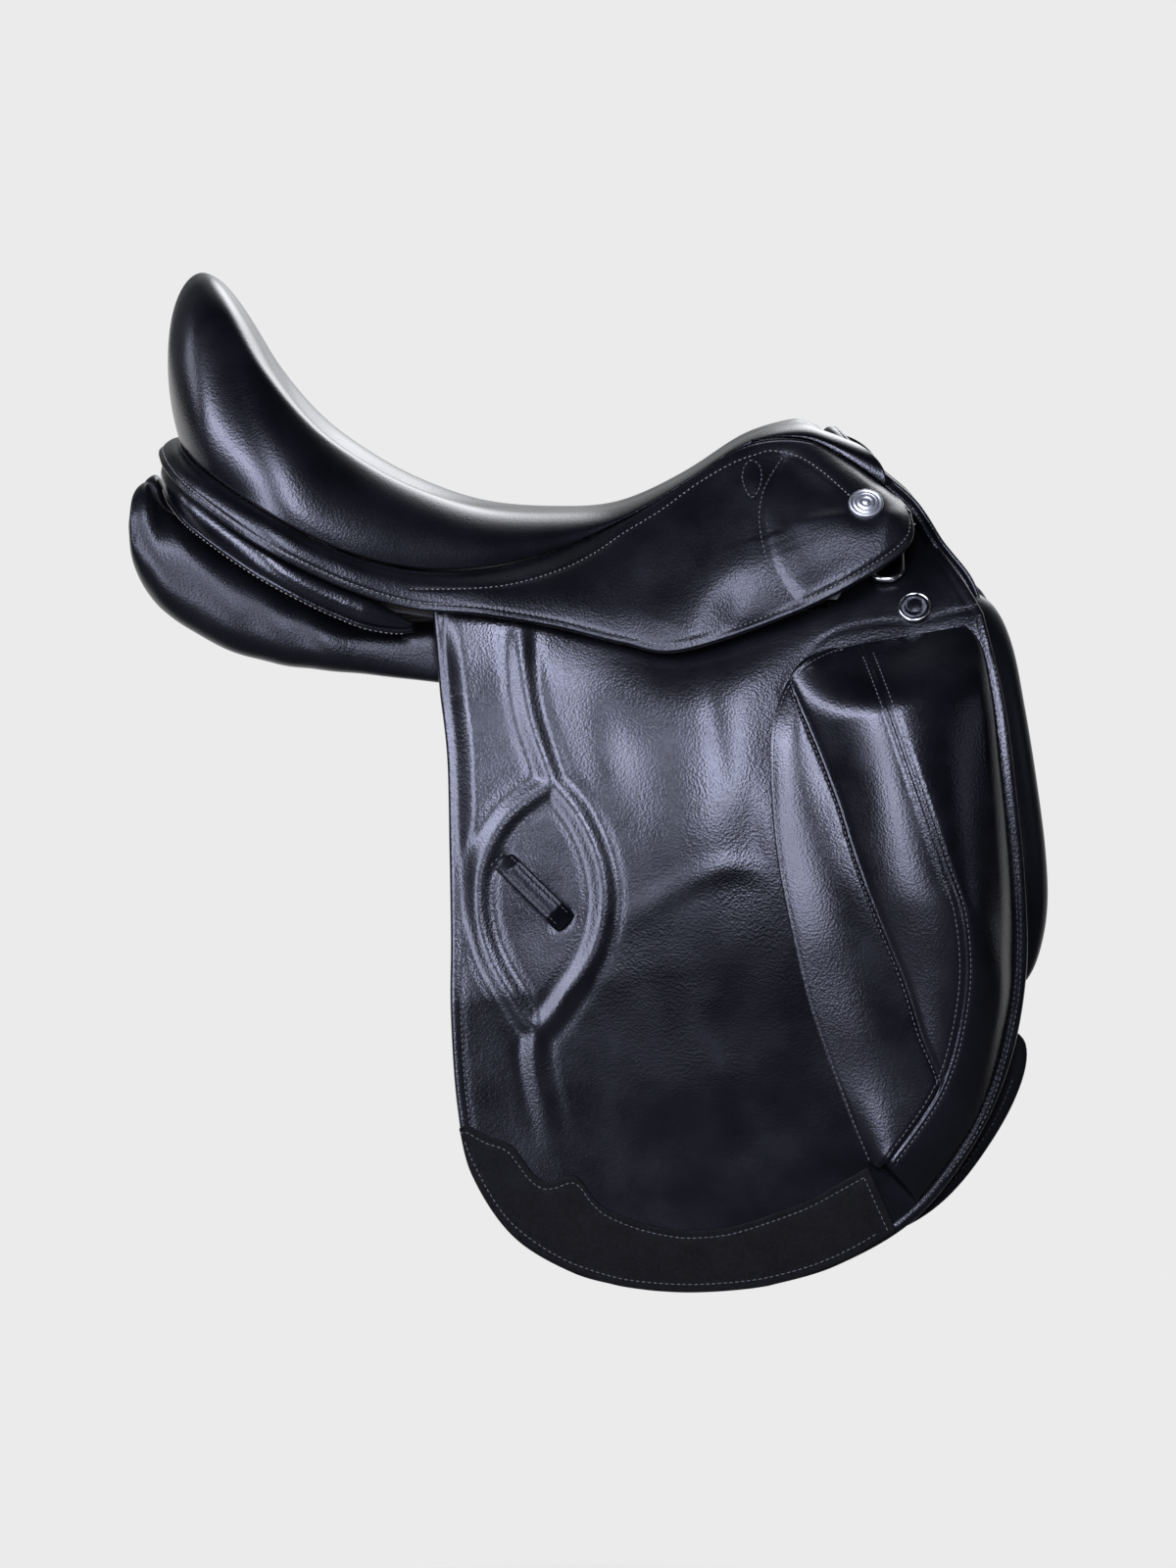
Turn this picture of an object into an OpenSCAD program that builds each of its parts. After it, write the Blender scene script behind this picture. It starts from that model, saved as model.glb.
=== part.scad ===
// Dressage saddle: a spring tree with its steelwork and webs, a foam seat under
// leather, skirts, lifting flaps with thigh blocks, girth straps and panels.
// +X points to the pommel, +Y to the horse's left, +Z up. The origin lies on the
// centre line, at the level where the middle of the panels bears on the back.

/* [Seat] */
// Distance of the cantle top behind the origin
cantle_back = 240; // [230:1:250]
// Height of the cantle top
cantle_z = 255; // [245:1:265]
// Distance of the pommel top ahead of the origin
pommel_front = 134; // [130:1:140]
// Height of the pommel top
pommel_z = 161; // [156:1:166]
// Height that the middle of the seat is set from, just over its lowest point
seat_low_z = 108; // [104:1:112]
// Half width of the seat at its widest
seat_half_w = 131; // [125:1:137]
// Half width of the seat at the twist, its narrowest
twist_half_w = 51; // [48:1:55]
// Thickness of the seat leather
cover_t = 2.5; // [1.5:0.1:3]
// Diameter of the piping between the seat and the skirts
welt_d = 4.4; // [3:0.2:6]
// Depth of the foam under the pommel
foam_front_t = 16; // [12:1:18]
// Depth of the foam under the rider
foam_rear_t = 36; // [28:1:40]

/* [Skirts] */
// Thickness of a skirt
skirt_t = 4; // [3:0.1:5]
// How far a skirt swells over the stirrup bar
skirt_swell = 7; // [4:0.5:10]
// Diameter of the padded roll round the back
cantle_roll_d = 19; // [16:0.5:20]
// Diameter of the facing along the front arch
facing_d = 11; // [8:0.5:12]

/* [Flaps] */
// Height of the lowest point of a flap
flap_bottom_z = -379; // [-390:1:-365]
// Rearmost point of a flap
flap_rear_x = -83; // [-88:1:-78]
// Foremost point of a flap
flap_front_x = 271; // [266:1:276]
// Thickness of a flap
flap_t = 5; // [4:0.2:6]
// Thickness of the guard along the lower edge
guard_t = 1.6; // [1:0.1:2.5]
// Point of the fold line that a flap lifts about, along X
fold_x = 75; // [70:1:80]
// Height of the fold line at that point
fold_z = 17; // [15:0.5:18]
// Slope of the fold line, up to the front
fold_tilt = 8.5; // [8:0.25:9]

/* [Blocks] */
// How far a thigh block stands out from its flap
block_h = 34; // [26:1:38]
// Height of the block along its front edge
block_edge_h = 9; // [6:0.5:12]
// Length of a stirrup leather keeper
keeper_len = 56; // [50:1:62]
// Width of a keeper
keeper_w = 14.5; // [12:0.5:18]
// Thickness of the keeper leather
keeper_t = 2.4; // [1.8:0.1:3]
// Clear height under a keeper
keeper_gap = 7; // [6:0.1:8]

/* [Panels] */
// Width of the channel between the panels
gullet_w = 72; // [64:1:80]
// Half distance between the sweat flaps at the fold line
fold_y = 104; // [101:1:107]
// Half distance between the sweat flaps where they hang plumb
wall_y = 151; // [147:1:155]
// Thickness of a sweat flap
sweat_t = 3.5; // [2.5:0.1:4]
// Thickness of the roll along the front of a sweat flap
knee_roll_t = 26; // [20:1:28]

/* [Girth straps] */
// Width of a girth strap
strap_w = 25; // [22:1:28]
// Thickness of a girth strap
strap_t = 4; // [3:0.2:4.5]
// Place of the rear strap along X
strap_rear_x = 8; // [4:1:10]
// Place of the front strap along X
strap_front_x = 58; // [54:1:60]
// Height of the lower end of a strap
strap_end_z = -330; // [-340:1:-320]
// Diameter of a buckle hole
hole_d = 6; // [5:0.5:7]
// Distance between buckle holes
hole_pitch = 25; // [20:1:26]
// Number of buckle holes in a strap
hole_count = 6; // [4:1:6]
// Thickness of the guide that holds the straps
guide_t = 2; // [1.5:0.1:2.5]

/* [Hardware] */
// Length of a stirrup bar
bar_len = 84; // [78:1:88]
// Depth of a stirrup bar
bar_h = 13; // [11:0.5:14]
// Thickness of a stirrup bar
bar_t = 6; // [5:0.5:6.5]
// Room for the stirrup leather behind the bar
bar_gap = 10.5; // [9:0.5:11]
// Thickness of the plate behind the bar
bar_plate_t = 3; // [2:0.2:3.6]
// Height of the bar's middle
bar_z = 57; // [55:0.5:59]
// Diameter of the catch pin
pin_d = 4; // [3:0.5:5]
// Width of a dee ring
dee_w = 20; // [19:1:23]
// Drop of a dee ring below its bar
dee_drop = 33; // [30:1:34]
// Wire diameter of a dee ring
dee_wire = 3.2; // [2.8:0.2:3.6]
// Diameter of a pommel stud
stud_d = 22; // [18:1:24]
// Diameter of a flap button
button_d = 20; // [17:1:22]

/* [Fits] */
// Gap between pieces that lie on each other
clear = 0.5; // [0.4:0.05:0.7]
// Radial play of a pin in its eye
pin_play = 0.08; // [0.05:0.01:0.1]

/* [Hidden] */
left = 1;
right = -1;

// Small helpers
function mix(a, b, t) = a * (1 - t) + b * t;
function ease(t) = let (c = min(1, max(0, t))) c * c * (3 - 2 * c);
function unit(v) = v / norm(v);
function flat(v) = [v[0], v[1], 0];

// Smooth curve through the points p, t from 0 to 1
function spline(p, t) =
    let (n = len(p) - 1, k = min(n - 1, floor(t * n)), f = t * n - k,
         a = p[max(0, k - 1)], b = p[k], c = p[k + 1], d = p[min(n, k + 2)])
    b + 0.5 * f * (c - a + f * (2 * a - 5 * b + 4 * c - d + f * (3 * (b - c) + d - a)));

// Cubic Bezier curve
function bezier(a, b, c, d, t) =
    let (s = 1 - t) a * s * s * s + 3 * b * s * s * t + 3 * c * s * t * t + d * t * t * t;

module on_side(side) {
    if (side > 0) children();
    else mirror([0, 1, 0]) children();
}

// Solid between two grids of points, rows by columns. The last column stays open
// where the two halves of a grid meet along it.
module sheet(outer, inner, flip = false, joined = false) {
    rows = len(outer) - 1;
    cols = len(outer[0]) - 1;
    half = (rows + 1) * (cols + 1);
    function at(i, j) = i * (cols + 1) + j;
    function quad(a, b, c, d) = [[a, b, c], [a, c, d]];
    skin = [for (i = [0:rows - 1], j = [0:cols - 1])
        each quad(at(i, j), at(i + 1, j), at(i + 1, j + 1), at(i, j + 1))];
    lining = [for (t = skin) [t[2] + half, t[1] + half, t[0] + half]];
    ends = [for (j = [0:cols - 1]) each concat(
        quad(at(0, j + 1), at(0, j + 1) + half, at(0, j) + half, at(0, j)),
        quad(at(rows, j), at(rows, j) + half, at(rows, j + 1) + half, at(rows, j + 1)))];
    first = [for (i = [0:rows - 1])
        each quad(at(i, 0), at(i, 0) + half, at(i + 1, 0) + half, at(i + 1, 0))];
    last = joined ? [] : [for (i = [0:rows - 1])
        each quad(at(i + 1, cols), at(i + 1, cols) + half, at(i, cols) + half, at(i, cols))];
    faces = concat(skin, lining, ends, first, last);
    polyhedron([for (g = [outer, inner], row = g) each row],
        flip ? [for (f = faces) [f[2], f[1], f[0]]] : faces);
}

// Solid through closed rings of points. A loop joins the last ring to the first.
module loft(rings, loop = false) {
    n = len(rings[0]);
    last = len(rings) - 1;
    sides = [for (i = [0:loop ? last : last - 1], j = [0:n - 1])
        let (a = i * n + j, b = i * n + (j + 1) % n,
             c = (i + 1) % (last + 1) * n + (j + 1) % n, d = (i + 1) % (last + 1) * n + j)
        each [[a, b, c], [a, c, d]]];
    caps = loop ? [] : [for (j = [1:n - 2])
        each [[0, j + 1, j], [last * n, last * n + j, last * n + j + 1]]];
    polyhedron([for (r = rings) each r], concat(sides, caps));
}

// Oval tube along a path: a is its half width across, b its half depth along up
module tube(path, a, b, sides = 8, up = [0, 0, 1]) {
    last = len(path) - 1;
    loft([for (i = [0:last])
        let (t = unit(path[min(last, i + 1)] - path[max(0, i - 1)]),
             across = unit(cross(t, up)), top = cross(across, t))
        [for (j = [0:sides - 1])
            let (w = 360 * (j + 0.5) / sides)
            path[i] + across * a * cos(w) + top * b * sin(w)]]);
}

// Mirrors a half path about the centre line and joins the two at their last point
function both_sides(half) = concat(half,
    [for (i = [len(half) - 2:-1:0]) [half[i][0], -half[i][1], half[i][2]]]);

// Side wall: the surface that the sweat flaps, straps, flaps and blocks lie over.
// It is written from the fold line, so that the fold itself is straight.
bow = 8;
bow_centre = -42;
bow_span = 170;
plumb_below = 190;
function below_fold(x, z) = (fold_z - z) * cos(fold_tilt) + (x - fold_x) * sin(fold_tilt);
function along_fold(x, z) = (x - fold_x) * cos(fold_tilt) + (z - fold_z) * sin(fold_tilt);
function fold_at(x) = fold_z + (x - fold_x) * tan(fold_tilt);
function wall(x, z) =
    let (n = below_fold(x, z), s = along_fold(x, z), f = ease((s + 130) / 150))
    n < 0
        ? fold_y + mix(0.1, 0.55, f) * n - mix(0, 0.006, f) * n * n
        : wall_y - (wall_y - fold_y) * pow(max(0, 1 - n / plumb_below), mix(1.3, 2.1, f))
            - bow * pow((s - bow_centre) / bow_span, 2) * ease(n / 160);
function on_wall(p, off) = [p[0], wall(p[0], p[1]) + off, p[1]];
function wall_normal(x, z) = unit([wall(x - 2, z) - wall(x + 2, z), 4, wall(x, z - 2) - wall(x, z + 2)]);

// Layers out from the wall. A strap is flat across, so it is given some room to lie.
strap_lie = 1.5;
strap_in = sweat_t + clear + strap_lie;
guide_in = strap_in + strap_t + clear + 1.2;
flap_in = guide_in + guide_t + clear;
flap_out = flap_in + flap_t;

// Grid on the wall between a rear and a front edge in the side view
function side_grid(rear, front, rows, cols, off) =
    [for (i = [0:rows])
        let (a = spline(rear, i / rows), b = spline(front, i / rows))
        [for (j = [0:cols]) on_wall(mix(a, b, j / cols), off)]];

// Grid on the wall between an upper and a lower edge in the side view
function band_grid(upper, lower, rows, cols, off) =
    [for (i = [0:rows]) [for (j = [0:cols])
        on_wall(mix(spline(upper, j / cols), spline(lower, j / cols), i / rows), off)]];

// Seat lines from the front corner round to the middle of the back: the welt at the
// foot of the seat, the ridge that carries the outline, and the spine.
welt_line = [
    [pommel_front + 54, twist_half_w + 11, pommel_z - 40],
    [pommel_front + 27, twist_half_w + 9, pommel_z - 21],
    [pommel_front, twist_half_w + 4, pommel_z - 9.5],
    [pommel_front - 34, twist_half_w, pommel_z - 13.5],
    [62, twist_half_w + 4, mix(seat_low_z, pommel_z, 0.29)],
    [22, mix(twist_half_w, seat_half_w, 0.2), seat_low_z - 8],
    [-20, mix(twist_half_w, seat_half_w, 0.43), seat_low_z - 26],
    [-65, mix(twist_half_w, seat_half_w, 0.67), seat_low_z - 36],
    [-110, seat_half_w - 12, seat_low_z - 36],
    [-155, seat_half_w - 2, seat_low_z - 24],
    [40 - cantle_back, seat_half_w, seat_low_z - 1],
    [2 - cantle_back, seat_half_w - 21, seat_low_z + 23],
    [-14 - cantle_back, seat_half_w - 55, seat_low_z + 36],
    [-19 - cantle_back, 38, seat_low_z + 42],
    [-20 - cantle_back, 0, seat_low_z + 44]];
ridge_line = [
    [pommel_front + 21, 32, pommel_z - 10],
    [pommel_front + 11, 30, pommel_z - 5],
    [pommel_front - 3, 27, pommel_z - 1.5],
    [pommel_front - 35, 25, pommel_z - 10.5],
    [61, 26, mix(seat_low_z, pommel_z, 0.35)],
    [20, 34, seat_low_z - 0.5],
    [-22, 46, seat_low_z - 4],
    [-66, 62, seat_low_z - 1],
    [-106, seat_half_w - 51, seat_low_z + 11.5],
    [-140, seat_half_w - 39, mix(seat_low_z, cantle_z, 0.197)],
    [66 - cantle_back, seat_half_w - 33, mix(seat_low_z, cantle_z, 0.366)],
    [34 - cantle_back, seat_half_w - 43, mix(seat_low_z, cantle_z, 0.616)],
    [14 - cantle_back, seat_half_w - 67, cantle_z - 23],
    [2 - cantle_back, 33, cantle_z - 5.5],
    [-5 - cantle_back, 0, cantle_z]];
spine_line = [
    [pommel_front + 11, 0, pommel_z - 3.5],
    [pommel_front + 4, 0, pommel_z - 0.7],
    [pommel_front - 6, 0, pommel_z],
    [pommel_front - 36, 0, pommel_z - 9.5],
    [61, 0, mix(seat_low_z, pommel_z, 0.368)],
    [20, 0, seat_low_z + 1],
    [-20, 0, seat_low_z - 3],
    [-60, 0, seat_low_z - 3.5],
    [-98, 0, seat_low_z - 1],
    [-130, 0, seat_low_z + 9],
    [-155, 0, seat_low_z + 21],
    [68 - cantle_back, 0, seat_low_z + 32.5],
    [57 - cantle_back, 0, seat_low_z + 41],
    [52 - cantle_back, 0, seat_low_z + 45.5],
    [50 - cantle_back, 0, seat_low_z + 48]];

// Point of the seat: u runs round the welt, v from the welt over the ridge to the spine.
// The back of the cantle stands out full and round.
function seat_point(u, v) =
    let (p = spline(welt_line, u), r = spline(ridge_line, u), c = spline(spine_line, u),
         out = flat(p - r), down = flat(c - r), up = [0, 0, r[2] - p[2]], full = 12 * ease((u - 0.78) / 0.16))
    v < 0.5
        ? bezier(p, p + 0.5 * up + unit(out) * (4 + full) * ease(up[2] / 40),
                 r + 0.5 * out + unit(out) * full, r, 2 * v)
        : bezier(r, r + 0.38 * down, c - 0.42 * down, c, 2 * v - 1);

seat_rows = 20;
seat_cols = 10;
function mirror_y(p) = [p[0], -p[1], p[2]];
function round_seat(half) = concat(half,
    [for (i = [len(half) - 2:-1:0]) [for (p = half[i]) mirror_y(p)]]);
seat_half_grid = [for (i = [0:seat_rows]) [for (j = [0:seat_cols])
    let (p = seat_point(i / seat_rows, j / seat_cols))
    [p[0], i == seat_rows || j == seat_cols ? 0 : p[1], p[2]]]];
seat_grid = round_seat(seat_half_grid);

// Grid moved in along its own normals. The columns of a joined grid carry on into the
// other half, so both halves stay on the centre line.
function shifted(g, d, joined = false) =
    let (r = len(g) - 1, c = len(g[0]) - 1)
    [for (i = [0:r]) [for (j = [0:c])
        let (a = g[min(r, i + 1)][j] - g[max(0, i - 1)][j],
             b = joined && j == c ? g[r - i][c - 1] - g[i][c - 1] : g[i][min(c, j + 1)] - g[i][max(0, j - 1)],
             n = joined && j == c && 2 * i == r ? [0.35, 0, 0.94] : unit(cross(a, b)),
             m = joined && (j == c || 2 * i == r) ? unit([n[0], 0, n[2]]) : n)
        g[i][j] - m * d]];

module seat_cover() {
    color([0.05, 0.05, 0.06])
        sheet(seat_grid, shifted(seat_grid, cover_t, true), flip = true, joined = true);
}

// Tree: a plate bent into a ring, wide and steep at the head, flat along the rails and
// upright at the cantle. Each station runs from its inner edge to its outer edge.
tree_t = 9;
tree_side_y = 66;
tree_inner = [
    [pommel_front - 8, 0, pommel_z - 23], [pommel_front - 13, 20, pommel_z - 25],
    [pommel_front - 26, 30, pommel_z - 33], [84, 32, pommel_z - 49],
    [54, 34, seat_low_z - 18], [18, 44, seat_low_z - 34], [-22, 60, seat_low_z - 47],
    [-64, 76, seat_low_z - 52], [-106, 88, seat_low_z - 50], [-146, 97, seat_low_z - 37],
    [-182, 98, seat_low_z - 10], [28 - cantle_back, 82, seat_low_z + 34],
    [12 - cantle_back, 58, seat_low_z + 70], [6 - cantle_back, 30, seat_low_z + 90],
    [4 - cantle_back, 0, seat_low_z + 97]];
tree_outer = [
    [148, 0, 122], [156, 40, 98], [146, tree_side_y, 60], [108, tree_side_y, 62],
    [66, tree_side_y, 62], [22, 70, 62], [-22, 84, 56], [-64, 101, 52], [-106, 113, 52],
    [-148, 121, 64], [-188, 117, 86], [21 - cantle_back, 94, 112], [7 - cantle_back, 65, 124],
    [1 - cantle_back, 32, 129], [-1 - cantle_back, 0, 131]];
tree_rows = 20;
function tree_at(i, t) = mix(spline(tree_inner, i / tree_rows), spline(tree_outer, i / tree_rows), t);
function tree_up(i) =
    i <= 0 ? unit([0.67, 0, 0.74])
    : i >= tree_rows ? [-1, 0, 0]
    : unit(cross(tree_at(i, 1) - tree_at(i, 0), tree_at(i + 1 > tree_rows ? i : i + 1, 0.5) - tree_at(i - 1, 0.5)));
function tree_point(i, t, depth) = tree_at(i, t) - tree_up(i) * depth;

module tree_frame() {
    half = [for (i = [0:tree_rows])
        [tree_point(i, 0, 0), tree_point(i, 0, tree_t), tree_point(i, 1, tree_t), tree_point(i, 1, 0)]];
    color([0.55, 0.42, 0.28])
        loft(concat(half, [for (i = [tree_rows - 1:-1:1]) [for (p = half[i]) mirror_y(p)]]), loop = true);
}

// Steel under the tree: the head plate across the arch and a spring along each rail
plate_t = 2.2;
plate_in = tree_t + 5 * clear;
module head_plate() {
    grid = function (d) [for (k = [-4:4]) [for (t = [0.2, 0.5, 0.8])
        let (p = tree_point(abs(k), t, d)) k < 0 ? mirror_y(p) : p]];
    color([0.45, 0.46, 0.48])
        sheet(grid(plate_in - clear), grid(plate_in - clear + plate_t));
}

module spring(side) {
    grid = function (d) [for (i = [6:15]) [for (t = [0.28, 0.72]) tree_point(i, t, d)]];
    color([0.45, 0.46, 0.48])
        on_side(side) sheet(grid(plate_in), grid(plate_in + plate_t));
}

// Webs strained across the rails
web_t = 1.6;
module seat_webs() {
    color([0.72, 0.68, 0.58]) for (i = [7, 10, 13]) {
        grid = function (d) [for (k = [i, i + 1]) [for (t = [0.45, 0, -1, 0, 0.45])
            let (p = t < 0 ? [tree_at(k, 0)[0], 0, tree_at(k, 0)[2] - d] : tree_point(k, t, d)) p]];
        mirrored = function (g) [for (row = g) [for (j = [0:4]) j > 2 ? mirror_y(row[j]) : row[j]]];
        gap = (i == 10 ? 1.5 : 3) * clear;
        sheet(mirrored(grid(-gap - web_t)), mirrored(grid(-gap)), flip = true);
    }
}

// Foam seat: its top lies under the leather, its foot on the webs, and a slot takes
// the upright back of the tree.
slot_room = 3.8;
function foam_base(u) =
    let (c = spline(spine_line, u)) [c[0], 0, c[2] - cover_t - mix(foam_front_t, foam_rear_t, ease(u / 0.6))];
function foam_under(i, j) =
    let (u = i / seat_rows, p = seat_foot[i], b = foam_base(u), k = u * tree_rows,
         plain = mix(foam_top[i][j] - [3, 0, 4], mix(p, b, j / seat_cols), ease(u / 0.15)), deep = ease((u - 0.63) / 0.06),
         out = unit(flat(p - b) + [-0.001, 0, 0]), level = mix(p[2], b[2], 0.35),
         head = tree_at(k, 0), foot = tree_at(k, 1),
         low = mix(head, foot, min(1, max(0, (head[2] - level) / (head[2] - foot[2])))),
         near = out * slot_room, far = -out * (1.15 * tree_t + slot_room), rise = max(level, head[2] + slot_room + 1.5),
         slot = j < 3 ? mix(p, flat(low + near) + [0, 0, level], j / 3)
            : j == 3 ? flat(low + near) + [0, 0, level]
            : j == 4 ? flat(head + near) + [0, 0, rise]
            : j == 5 ? flat(head + far) + [0, 0, rise]
            : j == 6 ? flat(low + far) + [0, 0, level]
            : mix(flat(low + far) + [0, 0, level], b, (j - 6) / (seat_cols - 6)))
    mix(plain, slot, deep);
foam_top = shifted(seat_grid, cover_t + clear, true);
seat_foot = [for (i = [0:seat_rows]) foam_top[i][0]];

module seat_foam() {
    half = [for (i = [0:seat_rows]) [for (j = [0:seat_cols])
        let (p = foam_under(i, j)) [p[0], i == seat_rows || j == seat_cols ? 0 : p[1], j == 0 ? p[2] - 1 : p[2]]]];
    color([0.85, 0.80, 0.62]) sheet(foam_top, round_seat(half), flip = true, joined = true);
}

// Piping sewn between the seat leather and the skirts: it carries on the line of the leather
function seat_rim(u, d) =
    let (p = seat_point(u, 0)) p + unit(p - seat_point(u, 0.04)) * d;
module seat_welt() {
    half = [for (i = [0:24]) let (p = seat_rim(max(0.012, i / 24), 2.6 * clear + welt_d / 2)) [p[0], i == 24 ? 0 : p[1], p[2]]];
    color([0.03, 0.03, 0.03]) tube(both_sides(half), welt_d / 2, welt_d / 2, 6);
}

// Skirts: they hang from the welt and swell over the stirrup bars
skirt_line = [
    [203, 89, 104], [199, 107, 84], [168, 119, 63], [124, 123, 42], [58, 127, 20.5],
    [22, 124, 25], [-20, 122.5, 35], [-66, 125.5, 43], [-112, 129, 48],
    [-156, seat_half_w + 4, 63], [37 - cantle_back, seat_half_w + 6.5, 87],
    [-5 - cantle_back, seat_half_w - 14, 115], [-22 - cantle_back, seat_half_w - 50, 130],
    [-28 - cantle_back, 40, 137], [-30 - cantle_back, 0, 139]];
function skirt_point(u, v) =
    let (p = seat_rim(u, welt_d + 4 * clear), e = spline(skirt_line, u),
         swell = skirt_swell * sin(180 * v) * mix(ease(u / 0.08), 0.45, ease((u - 0.3) / 0.25)))
    mix(p, e, v) + [0, 0.4, 0] + swell * [0, 0.8, 0.6];
module skirt(side) {
    grid = [for (j = [0:6]) [for (i = [26:-1:0]) skirt_point(i / 26, j / 6)]];
    color([0.06, 0.06, 0.07]) on_side(side) sheet(grid, shifted(grid, -skirt_t));
}

// Padded roll round the back, under the skirts
module cantle_roll() {
    r = cantle_roll_d / 2;
    half = [for (i = [0:14])
        let (u = mix(0.566, 1, i / 14), e = spline(skirt_line, u), a = spline(skirt_line, max(0, u - 0.02)),
             b = spline(skirt_line, min(1, u + 0.02)), t = flat(b - a),
             out = u > 0.99 ? [-1, 0, 0] : unit([t[1], -t[0], 0]))
        let (p = e - out * (r - 3) - [0, 0, r + clear + 1.4]) [p[0], i == 14 ? 0 : p[1], p[2]]];
    color([0.05, 0.05, 0.05]) tube(both_sides(half), r - 1, r, 8);
}

// Facing along the front arch of the pommel and down the front of each flap head
module pommel_facing() {
    r = facing_d / 2;
    half = [[234.5, 92, 66], [220, 81, 84], [210, 71, 100], [201, 63.5, 111.5], [183, 48, 126.5],
        [166, 32, 142], [158, 14, 150], [155, 0, 152.5]];
    line = [for (i = [0:16]) spline(half, i / 16)];
    color([0.04, 0.04, 0.04]) tube(both_sides(line), r, r * 0.75, 8);
}

// Stirrup bars: a plate on the tree, and a bar that turns back from its front end
bar_back_y = tree_side_y + 1.2;
bar_y = bar_back_y + bar_plate_t + bar_gap + bar_t / 2;
bar_x = 98;
catch_pin_x = bar_x + 6;
module along_y(x, y, z, d, len) {
    translate([x, y, z]) rotate([-90, 0, 0]) cylinder(d = d, h = len, $fn = 32);
}

module stirrup_bar(side) {
    front = bar_x + bar_len;
    color([0.5, 0.5, 0.52]) on_side(side) difference() {
        union() {
            translate([0, 0, bar_z - bar_h / 2]) linear_extrude(bar_h) polygon([
                [bar_x + 12, bar_back_y], [front - 5, bar_back_y], [front, bar_back_y + 5],
                [front, bar_y + bar_t / 2 - 5], [front - 5, bar_y + bar_t / 2], [bar_x, bar_y + bar_t / 2],
                [bar_x, bar_y - bar_t / 2], [front - 14, bar_y - bar_t / 2], [front - 12, bar_y - bar_t / 2 - 2],
                [front - 12, bar_back_y + bar_plate_t + 2], [front - 14, bar_back_y + bar_plate_t],
                [bar_x + 12, bar_back_y + bar_plate_t]]);
            translate([bar_x + 12, bar_back_y, bar_z]) cube([46, bar_plate_t, bar_h / 2 + 9]);
        }
        translate([bar_x - 1, bar_y - 1.3, bar_z - bar_h]) cube([16, 2.6, 2 * bar_h]);
        along_y(catch_pin_x, bar_y - bar_t, bar_z, pin_d + 2 * pin_play, 2 * bar_t);
        for (x = bar_rivet_x) along_y(x, bar_back_y - 1, bar_z + bar_h / 2 + 4, rivet_d + 0.3, 9);
    }
}

// Safety catch: it carries on the line of the bar and turns up about its pin
module bar_catch(side) {
    color([0.6, 0.6, 0.62]) on_side(side) {
        along_y(catch_pin_x, bar_y - bar_t / 2, bar_z, pin_d, bar_t);
        along_y(catch_pin_x, bar_y - 1, bar_z, 10, 2);
        translate([bar_x - 6, bar_y - 1, bar_z - 4]) cube([12, 2, 8]);
        translate([bar_x - 20, bar_y - bar_t / 2, bar_z - 5]) cube([16.4, bar_t, 10]);
        translate([bar_x - 20, 0, bar_z]) along_y(0, bar_y - bar_t / 2, 0, 10, bar_t);
    }
}

// Rivets that hold the stirrup bar plates to the tree
rivet_d = 5;
bar_rivet_x = [bar_x + 20, bar_x + 48];
module bar_rivets() {
    color([0.62, 0.60, 0.55]) for (side = [left, right], x = bar_rivet_x) on_side(side)
        translate([x, bar_back_y + 0.2, bar_z + bar_h / 2 + 4]) rotate([-90, 0, 0]) {
            cylinder(d = rivet_d, h = bar_plate_t + 1, $fn = 24);
            translate([0, 0, bar_plate_t]) cylinder(d1 = 8, d2 = 5, h = 1.8, $fn = 24);
        }
}

// Flap: the head stays on the tree, and the flap below the fold line lifts
head_rear_x = flap_rear_x - 8;
head_front_x = flap_front_x - 25;
function fold_point(x, n) = [x + n * sin(fold_tilt), fold_at(x) - n * cos(fold_tilt)];
flap_rear = [
    fold_point(head_rear_x, 0.25), [flap_rear_x - 3.5, mix(fold_z, flap_bottom_z, 0.16)],
    [flap_rear_x - 2, mix(fold_z, flap_bottom_z, 0.3)], [flap_rear_x - 1, mix(fold_z, flap_bottom_z, 0.44)],
    [flap_rear_x - 1, mix(fold_z, flap_bottom_z, 0.56)], [flap_rear_x + 3, flap_bottom_z + 117],
    [flap_rear_x + 12, flap_bottom_z + 75], [flap_rear_x + 37, flap_bottom_z + 37],
    [flap_rear_x + 74, flap_bottom_z + 14], [flap_rear_x + 112, flap_bottom_z + 3]];
flap_front = [
    fold_point(head_front_x, 0.25), [flap_front_x - 12, mix(fold_z, flap_bottom_z, 0.08)],
    [flap_front_x - 5, mix(fold_z, flap_bottom_z, 0.22)], [flap_front_x, mix(fold_z, flap_bottom_z, 0.35)],
    [flap_front_x + 1, mix(fold_z, flap_bottom_z, 0.49)], [flap_front_x - 9, flap_bottom_z + 145],
    [flap_front_x - 32, flap_bottom_z + 93], [flap_front_x - 69, flap_bottom_z + 47],
    [flap_front_x - 117, flap_bottom_z + 19], [flap_front_x - 165, flap_bottom_z + 4]];
flap_rows = 18;
flap_cols = 14;

module flap(side) {
    color([0.06, 0.06, 0.07]) on_side(side) sheet(
        side_grid(flap_rear, flap_front, flap_rows, flap_cols, flap_out),
        side_grid(flap_rear, flap_front, flap_rows, flap_cols, flap_in));
}

head_upper = [[head_rear_x - 5, 47], [-40, 42], [20, 34], [80, 36], [125, 42], [160, 50],
    [173, 88], [185, 94], [198, 96]];
head_lower = [for (k = [0:8]) fold_point(mix(head_rear_x, head_front_x, k / 8), -0.15)];
module flap_head(side) {
    color([0.06, 0.06, 0.07]) on_side(side) sheet(
        band_grid(head_upper, head_lower, 4, 24, flap_out), band_grid(head_upper, head_lower, 4, 24, flap_in));
}

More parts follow.
